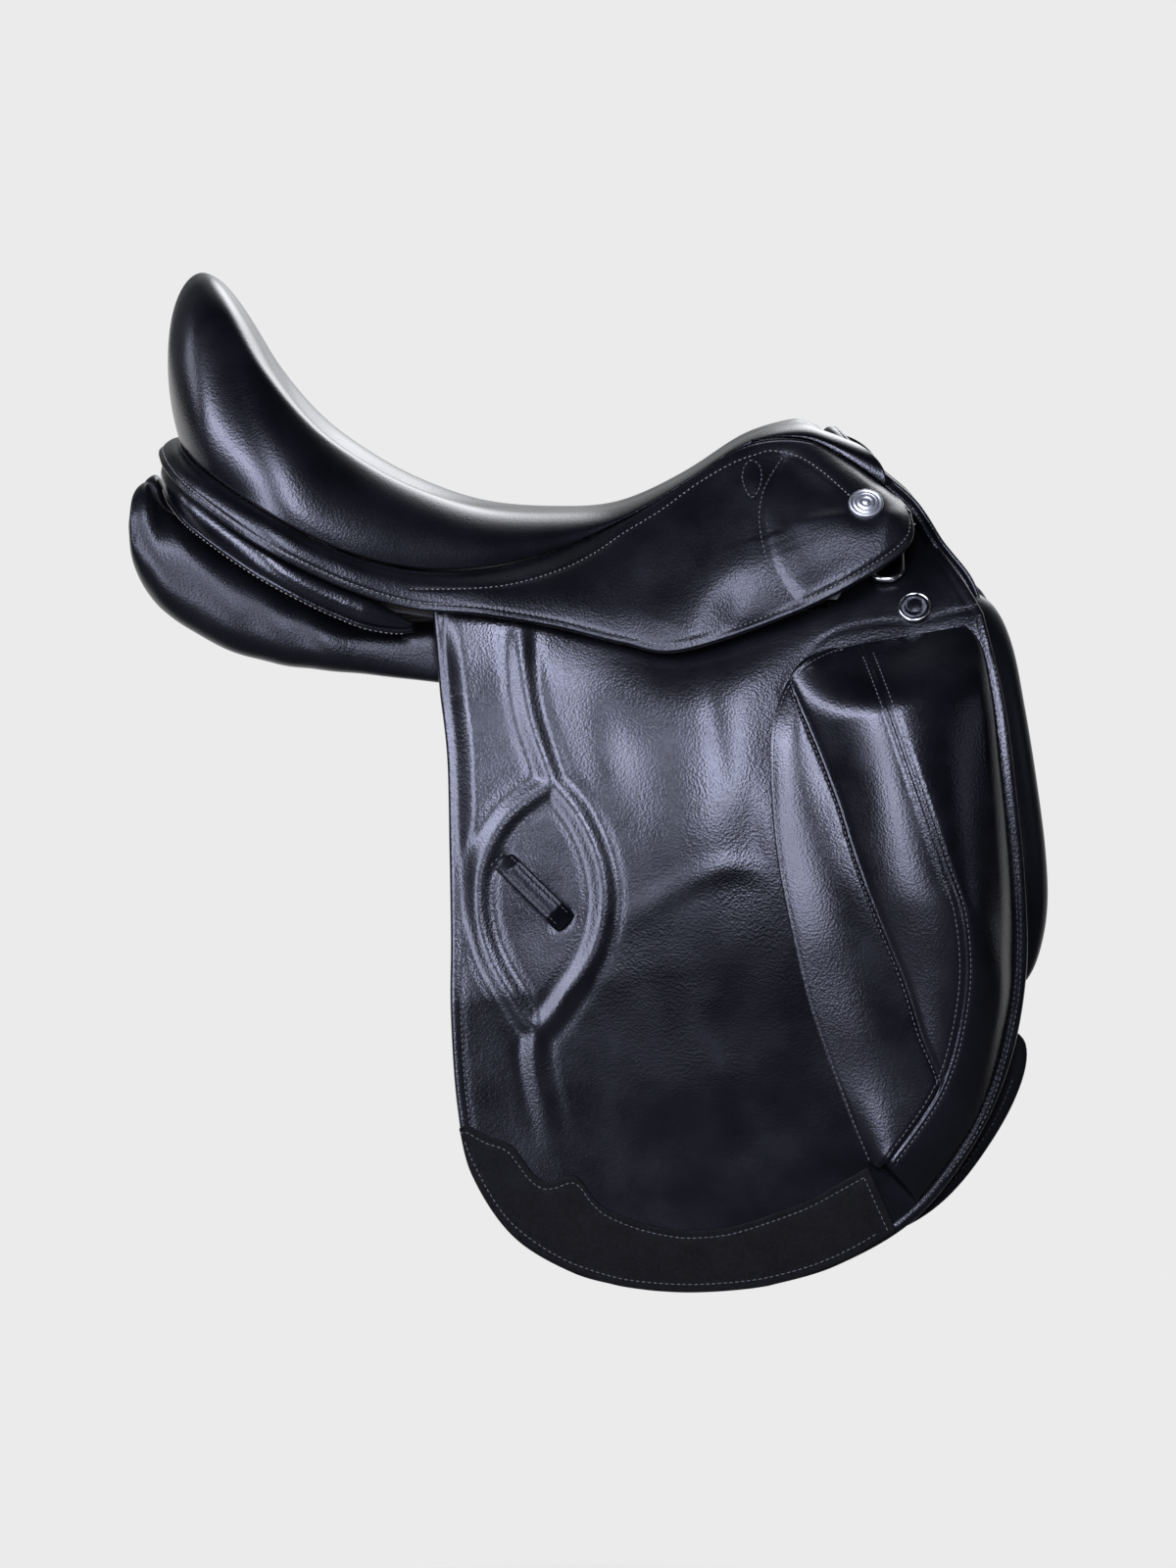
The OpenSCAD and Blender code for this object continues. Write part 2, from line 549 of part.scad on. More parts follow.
// Suede guard along the foot of a flap
function above_bottom(line) = [for (p = line) [p[0], flap_bottom_z + p[1]]];
guard_upper = above_bottom([[flap_rear_x + 6, 104], [flap_rear_x + 19, 98], [flap_rear_x + 34, 91],
    [flap_rear_x + 48, 75], [flap_rear_x + 63, 71], [flap_rear_x + 75, 73], [flap_rear_x + 87, 59], [32, 44],
    [66, 39], [flap_front_x - 167, 46], [flap_front_x - 131, 60], [flap_front_x - 106, 76], [flap_front_x - 99, 80]]);
guard_lower = above_bottom([[flap_rear_x + 7, 100], [flap_rear_x + 13, 78], [flap_rear_x + 28, 50],
    [flap_rear_x + 47, 33], [flap_rear_x + 69, 20], [flap_rear_x + 87, 13], [flap_rear_x + 105, 8], [44, 5],
    [66, 3.5], [flap_front_x - 169, 7.5], [flap_front_x - 131, 18.5], [flap_front_x - 99, 33], [flap_front_x - 80, 49]]);
module flap_guard(side) {
    color([0.10, 0.10, 0.10]) on_side(side) sheet(
        band_grid(guard_upper, guard_lower, 3, 24, flap_out + clear + guard_t),
        band_grid(guard_upper, guard_lower, 3, 24, flap_out + clear));
}

// Thigh block: a wing that rises from the flap to a ridge, and a pad from the ridge to
// the front edge. Both swell from nothing at the top and run out down the tail.
wing_rear = [[163, 24], [147, 20], [130, 9], [117, -16], [113.5, -51], [116.5, -98], [124, -141],
    [138, -200], [160, -262], [174, -297]];
ridge = [[172, 25], [177, 13], [184, -6], [194, -34], [207, -71], [219, -106], [231, -142],
    [233, -190], [219, -248], [184, -300]];
pad_front = [[236, 36], [246, 23], [253, -10], [257, -46], [261, -84], [264, -122], [265, -162],
    [262, -204], [243, -268], [205, -322]];
function block_swell(t) = ease(0.25 + t / 0.16) * mix(1, 0.3, ease((t - 0.62) / 0.38));
function wing_height(v, t) = 1.5 + (block_h - 1.5) * pow(v, 1.7) * block_swell(t);
function pad_height(v, t) =
    (1.5 + (mix(block_h, block_edge_h, pow(v, 1.6)) - 1.5) * block_swell(t)) * (1 - 0.5 * pow(v, 8));
block_base = flap_out + clear;

module block_wing(side) {
    rows = 16;
    cols = 7;
    lift = function (top) [for (i = [0:rows])
        let (a = spline(wing_rear, i / rows), b = spline(ridge, i / rows) - [0.6, 0])
        [for (j = [0:cols])
            on_wall(mix(a, b, j / cols), block_base + (top ? wing_height(j / cols, i / rows) : 0))]];
    color([0.05, 0.05, 0.06]) on_side(side) sheet(lift(true), lift(false));
}

module block_pad(side) {
    rows = 16;
    cols = 7;
    lift = function (top) [for (i = [0:rows])
        let (a = spline(ridge, i / rows) + [0.2, 0], b = spline(pad_front, i / rows))
        [for (j = [0:cols])
            on_wall(mix(a, b, j / cols), block_base + (top ? pad_height(j / cols, i / rows) : 0))]];
    color([0.05, 0.05, 0.06]) on_side(side) sheet(lift(true), lift(false));
}

// Keeper for the end of the stirrup leather: a strip with both ends sewn to the flap
keeper_at = [-33.5, -128];
keeper_turn = -45;
module on_flap(at, turn, off) {
    n = wall_normal(at[0], at[1]);
    x = unit([cos(turn), 0, sin(turn)] - n * ([cos(turn), 0, sin(turn)] * n));
    y = cross(n, x);
    p = on_wall(at, off);
    multmatrix([[x[0], y[0], n[0], p[0]], [x[1], y[1], n[1], p[1]], [x[2], y[2], n[2], p[2]], [0, 0, 0, 1]])
        children();
}

module keeper(side) {
    e = keeper_len / 2;
    f = e - 9;
    rise = keeper_gap;
    color([0.05, 0.05, 0.05]) on_side(side) on_flap(keeper_at, keeper_turn, flap_out + clear + 0.5)
        translate([0, keeper_w / 2, 0]) rotate([90, 0, 0]) linear_extrude(keeper_w) polygon([
            [-e, 0], [-f, 0], [-f + 4.5, rise], [f - 4.5, rise], [f, 0], [e, 0], [e, keeper_t],
            [f + 0.8, keeper_t], [f - 3.4, rise + keeper_t], [3.4 - f, rise + keeper_t],
            [-f - 0.8, keeper_t], [-e, keeper_t]]);
}

// Sweat flap: it lies on the panel and keeps the straps off the horse. Its front edge
// stands back for the knee roll and steps out below it.
roll_front = [[242, 60], [256, 46], [266, 22], [273, -14], [280, -58], [286, -106], [287, -146], [281, -192]];
roll_half_x = 24;
sweat_rear = [fold_point(head_rear_x + 16, -12), [flap_rear_x + 12, -60], [flap_rear_x + 11, -115],
    [flap_rear_x + 11, -160], [flap_rear_x + 12, -190], [flap_rear_x + 16, -235], [flap_rear_x + 26, -290],
    [flap_rear_x + 50, -330], [flap_rear_x + 90, -354], [40, flap_bottom_z + 18]];
sweat_front = [[211, 32], [224, -14], [231, -58], [236, -104], [237, -146], [228, -200],
    [272, -225], [252, -283], [202, -335], [110, flap_bottom_z + 18]];
module sweat_flap(side) {
    color([0.09, 0.08, 0.08]) on_side(side) sheet(
        side_grid(sweat_rear, sweat_front, 18, 10, sweat_t), side_grid(sweat_rear, sweat_front, 18, 10, 0));
}

// Padded roll along the front of the sweat flap
module knee_roll(side) {
    rings = 15;
    color([0.05, 0.05, 0.05]) on_side(side) loft([for (i = [0:rings])
        let (t = i / rings, p = spline(roll_front, t),
             full = sqrt(max(0.04, 1 - pow(abs(2 * t - 1), 8))),
             rx = roll_half_x * full, ry = knee_roll_t / 2 * full,
             c = on_wall([p[0] - roll_half_x, p[1]], flap_in - clear - 0.4 - knee_roll_t / 2))
        [for (k = [0:11]) c + [rx * cos(30 * k), ry * sin(30 * k), 0]]]);
}

// Girth straps: they hang from the tree, under the flap, with buckle holes down the end
module girth_strap(side, x) {
    plumb = wall(x, -185) + strap_in;
    drop = [for (z = [18, 2, -14, -32, -52, -76, -104, -136, -170]) [wall(x, z) + strap_in, z]];
    path = concat([[tree_side_y + 9, bar_z + 8], [tree_side_y + 15, bar_z - 2]], drop,
        [[plumb, -185], [plumb, strap_end_z + 8], [plumb, strap_end_z]]);
    color([0.08, 0.07, 0.07]) on_side(side) difference() {
        translate([x - strap_w / 2, 0, 0]) rotate([90, 0, 90]) linear_extrude(strap_w)
            polygon(concat(path, [for (i = [len(path) - 1:-1:0]) path[i] + [strap_t, 0]]));
        for (k = [0:hole_count - 1])
            along_y(x, plumb - 1, strap_end_z + 22 + k * hole_pitch, hole_d, strap_t + 2);
        for (s = [-1, 1])
            translate([x + s * strap_w / 2, plumb - 1, strap_end_z]) rotate([-90, 45, 0])
                translate([-4, -4, 0]) cube([8, 8, strap_t + 2]);
    }
}

// Guide sewn to the sweat flap round both straps
module strap_guide(side) {
    upper = [[strap_rear_x - 26, -70], [strap_front_x + 26, -70]];
    lower = [[strap_rear_x - 26, -118], [strap_front_x + 26, -118]];
    color([0.07, 0.07, 0.07]) on_side(side) sheet(
        band_grid(upper, lower, 3, 6, guide_in + guide_t), band_grid(upper, lower, 3, 6, guide_in));
}

// Panels: stuffed cushions either side of the channel, swept up at the back. The lower
// face leans out and down with the horse's back.
panel_x = [-288.5, -287, -283, -276.5, -267, -251, -226, -196, -162, -124, -84, -42, 0, 42, 84, 124,
    158, 184, 198, 206];
panel_top = [[-288.5, 102], [-287, 114], [-283, 121], [-276.5, 122], [-267, 107], [-251, 99], [-226, 81],
    [-196, 64], [-162, 45], [-124, 37], [-84, 38], [-42, 40], [0, 46], [42, 47], [84, 42], [124, 42], [158, 41],
    [184, 36], [198, 22], [206, 8]];
panel_foot = [[-288.5, 93], [-287, 77], [-283, 64], [-276.5, 52.5], [-267, 42], [-251, 30], [-226, 16.5],
    [-196, 7.5], [-162, 3], [-124, -1], [-84, -6.5], [-42, -11], [0, -17], [42, -24], [84, -31], [124, -37],
    [158, -42], [184, -42], [198, -34], [206, -14]];
panel_lean = [[-288, 0], [-226, 6], [-124, 12], [-42, 22], [84, 38], [158, 46], [198, 36], [206, 14]];
panel_side = [[-288.5, 86], [-287, 98], [-283, 106], [-276.5, 111], [-267, 116], [-251, 122], [-226, 128],
    [-196, 131], [-162, 128], [-124, 118], [-84, 106], [-42, 112], [0, 125], [206, 130]];
module panel(side) {
    color([0.07, 0.07, 0.07]) on_side(side) loft([for (x = panel_x)
        let (zt = lookup(x, panel_top), zb = lookup(x, panel_foot), y = lookup(x, panel_side),
             inner = gullet_w / 2 + (x > 190 ? (x - 190) * 0.9 : x < -280 ? (-280 - x) * 2 : 0),
             upper = min(y - 5, wall(x, zt) - 2 * clear), lower = min(y, wall(x, zb) - 2 * clear))
        [for (k = [0:13])
            let (w = -360 * (k + 0.5) / 14, cx = cos(w), sx = sin(w),
                 h = sign(cx) * pow(abs(cx), 0.5), v = sign(sx) * pow(abs(sx), 0.5),
                 outer = mix(lower, upper, (v + 1) / 2), foot = zb + lookup(x, panel_lean) * (1 - h) / 2)
            [x, mix(inner, outer, (h + 1) / 2), mix(foot, zt, (v + 1) / 2)]]]);
}

// Lining of the channel between the panels, arched up under the pommel
module gullet_lining() {
    rows = [[152, 40, 58], [128, 40, 50], [100, 40, 28], [60, 40, 14], [20, 36, 8], [-30, 31, 6], [-80, 28, 6],
        [-130, 30, 6], [-180, 46, 6], [-220, 70, 6], [-246, 92, 6]];
    half_w = gullet_w / 2 - clear;
    grid = function (d) [for (r = rows) [for (j = [-4:4])
        [r[0], half_w * j / 4, r[1] + r[2] * (1 - j * j / 16) + d]]];
    color([0.08, 0.08, 0.08]) sheet(grid(1.6), grid(0));
}

// Round fittings, turned about the line they stand on
module stud_turned(d, dome) {
    rotate_extrude($fn = 48) polygon([[0, 0], [d / 2 - 0.8, 0], [d / 2, 0.8], [d / 2, 1.8], [d / 2 - 0.9, 2.6],
        [d / 2 - 2.2, 2.2], [d / 2 - 3, 2.2], [d / 2 - 3.6, 2.8], [d / 4, dome], [0, dome + 0.4]]);
}

// Point and direction of a place on a skirt
module on_skirt(u, v, off) {
    a = skirt_point(u, v);
    n = unit(cross(skirt_point(u - 0.01, v) - skirt_point(u + 0.01, v), skirt_point(u, v + 0.02) - skirt_point(u, v - 0.02)));
    m = n[1] > 0 ? n : -n;
    translate(a + m * off) rotate([0, acos(m[2]), atan2(m[1], m[0])]) children();
}

module pommel_stud(side) {
    color([0.75, 0.75, 0.76]) on_side(side) on_skirt(0.095, 0.56, 0) stud_turned(stud_d, 3.6);
}

button_at = [204.5, 47];
module flap_button(side) {
    color([0.1, 0.1, 0.1]) on_side(side) on_flap(button_at, 0, flap_out + clear) stud_turned(button_d, 3.2);
}

// Front dee: a wire ring that swings on a leather chape
dee_at = [187, 82.6, 88];
dee_lay = 44;
module in_dee() {
    translate(dee_at) rotate([dee_lay, 0, 0]) children();
}

module dee_ring(side) {
    r = dee_wire / 2;
    c = 8.5;
    h = dee_w / 2;
    color([0.78, 0.78, 0.8]) on_side(side) in_dee() {
        translate([-h - r, 0, 0]) rotate([0, 90, 0]) cylinder(r = r, h = dee_w + 2 * r, $fn = 24);
        for (s = [-1, 1]) {
            translate([s * h, 0, -dee_drop + c]) cylinder(r = r, h = dee_drop - c, $fn = 24);
            translate([s * (h - c), 0, -dee_drop + c]) rotate([90, 0, 0]) rotate([0, 0, s > 0 ? 270 : 180])
                rotate_extrude(angle = 90, $fn = 48) translate([c, 0]) circle(r = r, $fn = 24);
        }
        translate([-h + c, 0, -dee_drop]) rotate([0, 90, 0]) cylinder(r = r, h = dee_w - 2 * c, $fn = 24);
    }
}

module dee_chape(side) {
    r = dee_wire / 2 + pin_play;
    w = dee_w - dee_wire - 5;
    color([0.05, 0.05, 0.05]) on_side(side) in_dee() difference() {
        union() {
            translate([-w / 2, 0, 0]) rotate([0, 90, 0]) cylinder(r = r + 2, h = w, $fn = 32);
            translate([-w / 2, -r - 2, 0]) cube([w, 2, 10]);
        }
        translate([-w, 0, 0]) rotate([0, 90, 0]) cylinder(r = r, h = 2 * w, $fn = 32);
    }
}

tree_frame();
head_plate();
spring(left);  // spring_left
spring(right);  // spring_right
seat_webs();
stirrup_bar(left);  // stirrup_bar_left
stirrup_bar(right);  // stirrup_bar_right
bar_catch(left);  // bar_catch_left
bar_catch(right);  // bar_catch_right
bar_rivets();
seat_foam();
seat_cover();
seat_welt();
skirt(left);  // skirt_left
skirt(right);  // skirt_right
pommel_facing();
cantle_roll();
pommel_stud(left);  // pommel_stud_left
pommel_stud(right);  // pommel_stud_right
flap_head(left);  // flap_head_left
flap_head(right);  // flap_head_right
flap_button(left);  // flap_button_left
flap_button(right);  // flap_button_right
dee_chape(left);  // dee_chape_left
dee_chape(right);  // dee_chape_right
dee_ring(left);  // dee_ring_left
dee_ring(right);  // dee_ring_right
flap(left);  // flap_left
flap(right);  // flap_right
block_pad(left);  // block_pad_left
block_pad(right);  // block_pad_right
block_wing(left);  // block_wing_left
block_wing(right);  // block_wing_right
keeper(left);  // keeper_left
keeper(right);  // keeper_right
flap_guard(left);  // flap_guard_left
flap_guard(right);  // flap_guard_right
sweat_flap(left);  // sweat_flap_left
sweat_flap(right);  // sweat_flap_right
girth_strap(left, strap_front_x);  // girth_strap_front_left
girth_strap(right, strap_front_x);  // girth_strap_front_right
girth_strap(left, strap_rear_x);  // girth_strap_rear_left
girth_strap(right, strap_rear_x);  // girth_strap_rear_right
strap_guide(left);  // strap_guide_left
strap_guide(right);  // strap_guide_right
panel(left);  // panel_left
panel(right);  // panel_right
gullet_lining();
knee_roll(left);  // knee_roll_left
knee_roll(right);  // knee_roll_right
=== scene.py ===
import math

import bmesh
import bpy
import numpy as np
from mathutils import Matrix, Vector
from mathutils.bvhtree import BVHTree


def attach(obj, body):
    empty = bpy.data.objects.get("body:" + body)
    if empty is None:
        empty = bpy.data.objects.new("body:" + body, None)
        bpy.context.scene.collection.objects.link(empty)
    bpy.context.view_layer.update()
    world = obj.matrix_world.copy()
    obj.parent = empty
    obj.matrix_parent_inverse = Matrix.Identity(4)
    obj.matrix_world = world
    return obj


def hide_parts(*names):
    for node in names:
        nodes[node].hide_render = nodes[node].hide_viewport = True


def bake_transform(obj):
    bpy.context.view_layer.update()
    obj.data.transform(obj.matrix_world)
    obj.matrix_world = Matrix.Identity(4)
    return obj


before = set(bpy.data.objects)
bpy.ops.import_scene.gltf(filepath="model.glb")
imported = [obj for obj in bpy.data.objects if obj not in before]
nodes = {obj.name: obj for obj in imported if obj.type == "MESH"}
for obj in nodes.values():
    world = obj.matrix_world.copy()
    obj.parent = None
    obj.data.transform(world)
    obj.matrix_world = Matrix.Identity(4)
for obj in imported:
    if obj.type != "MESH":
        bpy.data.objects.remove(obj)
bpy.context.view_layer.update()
scene = bpy.context.scene
mm = 0.001
flipY = np.array([1.0, -1.0, 1.0])
print("frame:", len(nodes), "nodes")


# small maths, all in millimetres
def mix(a, b, t):
    return a * (1 - t) + b * t


def ease(t):
    t = np.clip(t, 0, 1)
    return t * t * (3 - 2 * t)


def bell(d, width):
    return np.exp(-(d / width) ** 2)


def unit(v):
    return v / np.maximum(np.linalg.norm(v, axis=-1, keepdims=True), 1e-9)


def splineAt(points, t):  # curve through the points, t from 0 to 1
    p, t = np.asarray(points, float), np.asarray(t, float)
    n = len(p) - 1
    k = np.clip(np.floor(t * n).astype(int), 0, n - 1)
    f = (t * n - k)[..., None]
    a, b, c, d = p[np.maximum(k - 1, 0)], p[k], p[k + 1], p[np.minimum(k + 2, n)]
    return b + 0.5 * f * (c - a + f * (2 * a - 5 * b + 4 * c - d + f * (3 * (b - c) + d - a)))


def bezier(a, b, c, d, t):
    t = t[..., None]
    s = 1 - t
    return a * s**3 + 3 * b * s * s * t + 3 * c * s * t * t + d * t**3


def evenPath(points, step=2.0):  # even points along the curve
    dense = splineAt(points, np.linspace(0, 1, 40 * len(points)))
    run = np.r_[0, np.cumsum(np.linalg.norm(np.diff(dense, axis=0), axis=1))]
    at = np.linspace(0, run[-1], max(2, int(run[-1] / step) + 1))
    return np.stack([np.interp(at, run, dense[:, k]) for k in range(dense.shape[1])], axis=1)


def fromLine(path, x, z):  # signed distance from a line in the side view, and how far along it
    spots = np.stack([np.ravel(x), np.ravel(z)], 1)
    best = np.full(len(spots), 1e9)
    sign, station = np.zeros(len(spots)), np.zeros(len(spots))
    steps = np.diff(path, axis=0)
    lengths = np.linalg.norm(steps, axis=1)
    run = np.r_[0, np.cumsum(lengths)]
    for k, step in enumerate(steps):
        t = np.clip(((spots - path[k]) @ step) / max(lengths[k] ** 2, 1e-9), 0, 1)
        off = spots - path[k] - t[:, None] * step
        away = np.hypot(off[:, 0], off[:, 1])
        near = away < best
        best[near] = away[near]
        sign[near] = np.sign(step[0] * off[near, 1] - step[1] * off[near, 0])
        station[near] = (run[k] + t[near] * lengths[k]) / run[-1]
    shape = np.shape(x)
    return (best * sign).reshape(shape), station.reshape(shape)


def softSpot(x, z, spot):  # a round swell or hollow: place, half sizes, turn, height
    cx, cz, sx, sz, turn, height = spot
    c, s = math.cos(math.radians(turn)), math.sin(math.radians(turn))
    a, b = (x - cx) * c + (z - cz) * s, (z - cz) * c - (x - cx) * s
    return height * np.exp(-(a / sx) ** 2 - (b / sz) ** 2)


def ripples(x, z, size, seed, count=9):  # smooth uneven waves for leather that has been worked
    draw = np.random.default_rng(seed)
    total = np.zeros(np.shape(x))
    for _ in range(count):
        way, wave, phase = draw.uniform(0, np.pi), size * draw.uniform(0.6, 1.8), draw.uniform(0, 2 * np.pi)
        total += np.sin((x * np.cos(way) + z * np.sin(way)) * 2 * np.pi / wave + phase)
    return total / count


# mesh building
def cleanMesh(mesh):
    work = bmesh.new()
    work.from_mesh(mesh)
    bmesh.ops.remove_doubles(work, verts=work.verts, dist=2e-6)
    bmesh.ops.recalc_face_normals(work, faces=work.faces)
    for face in work.faces:
        face.smooth = True
    work.to_mesh(mesh)
    work.free()


def addPiece(name, verts, faces, finish):
    mesh = bpy.data.meshes.new(name)
    mesh.from_pydata((np.asarray(verts) * mm).tolist(), [], [list(map(int, f)) for f in faces])
    mesh.materials.append(finish)
    cleanMesh(mesh)
    piece = bpy.data.objects.new(name, mesh)
    scene.collection.objects.link(piece)
    return piece


def addPair(name, verts, faces, finish):
    return {"left": addPiece(name + "Left", verts, faces, finish),
            "right": addPiece(name + "Right", np.asarray(verts) * flipY, faces, finish)}


def applyModifiers(piece):
    graph = bpy.context.evaluated_depsgraph_get()
    made = bpy.data.meshes.new_from_object(piece.evaluated_get(graph))
    piece.modifiers.clear()
    old, piece.data = piece.data, made
    bpy.data.meshes.remove(old)


def settle(piece, body, slot, *stoodFor):
    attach(piece, body)
    if stoodFor:
        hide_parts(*stoodFor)


def settlePair(pair, body, slot, *stoodFor):
    for side, piece in pair.items():
        settle(piece, body.format(side), slot, *[n.format(side) for n in stoodFor])


def gridFaces(rows, cols, start=0, ring=False):
    i, j = np.meshgrid(np.arange(rows - 1), np.arange(cols if ring else cols - 1), indexing="ij")
    a, b = start + i * cols + j, start + i * cols + (j + 1) % cols
    return np.stack([a, a + cols, b + cols, b], -1).reshape(-1, 4).tolist()


def gridNormals(grid):
    return unit(np.cross(np.gradient(grid, axis=0), np.gradient(grid, axis=1)))


def rolledSheet(outer, inner, roll=6, swell=1.0):  # a leather sheet whose edge is rolled over
    rows, cols = outer.shape[:2]
    right, down = np.arange(cols - 1), np.arange(rows - 1)
    i = np.r_[0 * right, down, 0 * right + rows - 1, down[::-1] + 1]
    j = np.r_[right, 0 * down + cols - 1, right[::-1] + 1, 0 * down]
    edge, back = outer[i, j], inner[i, j]
    within = outer[np.clip(i, 1, rows - 2), np.clip(j, 1, cols - 2)]
    half = (edge - back) / 2
    away = unit(np.cross(np.roll(edge, -1, 0) - np.roll(edge, 1, 0), half))
    away *= np.sign(np.sum(away * (edge - within)))
    thick = np.linalg.norm(half, axis=1, keepdims=True) * swell
    count, ring = rows * cols, i * cols + j
    verts = [outer.reshape(-1, 3), inner.reshape(-1, 3)]
    loops = [ring]
    for k in range(1, roll):
        w = math.pi * k / roll
        verts.append((edge + back) / 2 + half * math.cos(w) + away * thick * math.sin(w))
        loops.append(2 * count + (k - 1) * len(ring) + np.arange(len(ring)))
    loops.append(ring + count)
    faces = gridFaces(rows, cols) + gridFaces(rows, cols, count)
    for a, b in zip(loops, loops[1:]):
        faces += np.stack([a, b, np.roll(b, -1), np.roll(a, -1)], -1).tolist()
    return np.concatenate(verts), faces


def loftMesh(rings):  # closed skin through rings of points, with both ends closed
    rows, cols = rings.shape[:2]
    verts = np.concatenate([rings.reshape(-1, 3), [rings[0].mean(0), rings[-1].mean(0)]])
    faces = gridFaces(rows, cols, ring=True)
    last = (rows - 1) * cols
    for j in range(cols):
        k = (j + 1) % cols
        faces += [[rows * cols, j, k], [rows * cols + 1, last + k, last + j]]
    return verts, faces


def tubeMesh(path, across, up, sides=12, lean=(0, 0, 1)):
    along = unit(np.gradient(path, axis=0))
    side = unit(np.cross(along, lean))
    top = np.cross(side, along)
    w = 2 * np.pi * (np.arange(sides) + 0.5) / sides
    across, up = np.broadcast_to(across, len(path)), np.broadcast_to(up, len(path))
    rings = path[:, None] + side[:, None] * (across[:, None] * np.cos(w))[..., None]
    return loftMesh(rings + top[:, None] * (up[:, None] * np.sin(w))[..., None])


def turnedMesh(profile, spot, axis, sides=64, notch=0.0, notchAt=0.0):  # radius and height about an axis
    profile = np.asarray(profile, float)
    axis = unit(np.asarray(axis, float))
    first = unit(np.cross(axis, [0.3, 0.2, 1.0]))
    second = np.cross(axis, first)
    w = 2 * np.pi * np.arange(sides) / sides
    spread = np.cos(w)[:, None] * first + np.sin(w)[:, None] * second
    rings = spot + profile[:, :1, None] * spread + profile[:, 1, None, None] * axis
    cut = notch * bell(profile[:, 0] - notchAt, 1.0) * (profile[:, 1] > 1.5)
    return loftMesh(rings - (cut[:, None] * (np.arange(sides) % 4 < 2))[..., None] * axis)


def bothHalves(half):  # carries a half path over the centre line
    return np.concatenate([half, half[-2::-1] * flipY])


def skinOf(piece):  # for laying lines on a finished piece
    mesh = piece.data
    return BVHTree.FromPolygons([v.co / mm for v in mesh.vertices], [p.vertices[:] for p in mesh.polygons])


def seenFrom(points):  # where the camera sees a point, measured on the plane of the flap
    c, n = math.cos(view["tilt"]), math.sin(view["tilt"])
    back, rise = view["flapPlane"] - points[..., 1], points[..., 2] - view["middle"][1]
    shrink = 1 / (1 + (back * c - rise * n) * mm / view["away"])
    return points[..., 0] * shrink, view["middle"][1] + (back * n + rise * c) * shrink


def layOn(skin, path, lift=0.0):  # drops a line of the photo's plane on a skin, as the camera sees it
    laid = []
    c, n = math.cos(view["tilt"]), math.sin(view["tilt"])
    eye = Vector((0, view["flapPlane"] + view["away"] / mm * c, view["middle"][1] + view["away"] / mm * n))
    for x, z in path:
        rise = z - view["middle"][1]
        sight = (Vector((x, view["flapPlane"] - rise * n, view["middle"][1] + rise * c)) - eye).normalized()
        spot, normal, _, _ = skin.ray_cast(eye, sight)
        if spot is not None:
            normal = normal if normal.dot(sight) < 0 else -normal
            laid.append(spot + normal * lift)
    return np.array(laid)


def insetLine(grid, inset):  # line at an even distance from the first column of a grid
    laid = []
    for row in grid:
        run = np.r_[0, np.cumsum(np.linalg.norm(np.diff(row, axis=0), axis=1))]
        laid.append([np.interp(inset, run, row[:, k]) for k in range(3)])
    return np.array(laid)


# camera: a long lens on the off side, a little above the flap
view = {"tilt": math.radians(4), "flapPlane": 155.0, "middle": (0.0, -61.0), "away": 6.0, "tall": 0.976}


def addCamera():
    data = bpy.data.cameras.new("camera")
    camera = bpy.data.objects.new("camera", data)
    scene.collection.objects.link(camera)
    scene.camera = camera
    data.sensor_width = 36
    data.lens = data.sensor_width * view["away"] / view["tall"]
    data.clip_end = 50
    sight = Vector((0, math.cos(view["tilt"]), -math.sin(view["tilt"])))
    x, z = view["middle"]
    camera.location = Vector((x, -view["flapPlane"], z)) * mm - sight * view["away"]
    camera.rotation_euler = sight.to_track_quat("-Z", "Y").to_euler()


addCamera()
print("camera ready")


# finishes
def newFinish(name):
    finish = bpy.data.materials.new(name)
    finish.use_nodes = True
    tree = finish.node_tree
    shader = tree.nodes["Principled BSDF"]
    coords = tree.nodes.new("ShaderNodeTexCoord").outputs["Object"]
    return finish, tree, shader, coords


def feed(tree, node, inputs):  # sockets are linked, other values are set
    for key, value in inputs.items():
        if isinstance(value, bpy.types.NodeSocket):
            tree.links.new(value, node.inputs[key])
        else:
            node.inputs[key].default_value = value


def addNode(tree, kind, inputs, **settings):
    node = tree.nodes.new(kind)
    for key, value in settings.items():
        setattr(node, key, value)
    feed(tree, node, inputs)
    return node


def noiseNode(tree, coords, scale, detail=4.0, roughness=0.55):
    inputs = {"Vector": coords, "Scale": scale, "Detail": detail, "Roughness": roughness}
    return addNode(tree, "ShaderNodeTexNoise", inputs).outputs["Fac"]


def mathNode(tree, operation, *values):
    node = addNode(tree, "ShaderNodeMath", dict(enumerate(values)), operation=operation)
    return node.outputs["Value"]


def rangeNode(tree, value, low, high, start=0.3, end=0.7):
    inputs = {"Value": value, "From Min": start, "From Max": end, "To Min": low, "To Max": high}
    return addNode(tree, "ShaderNodeMapRange", inputs).outputs["Result"]


def blendColours(tree, share, first, second):
    inputs = {"Factor": share, "A": (*first, 1), "B": (*second, 1)}
    return addNode(tree, "ShaderNodeMix", inputs, data_type="RGBA").outputs["Result"]


def bumpNode(tree, height, strength, distance, **under):
    inputs = {"Height": height, "Strength": strength, "Distance": distance, **under}
    return addNode(tree, "ShaderNodeBump", inputs).outputs["Normal"]


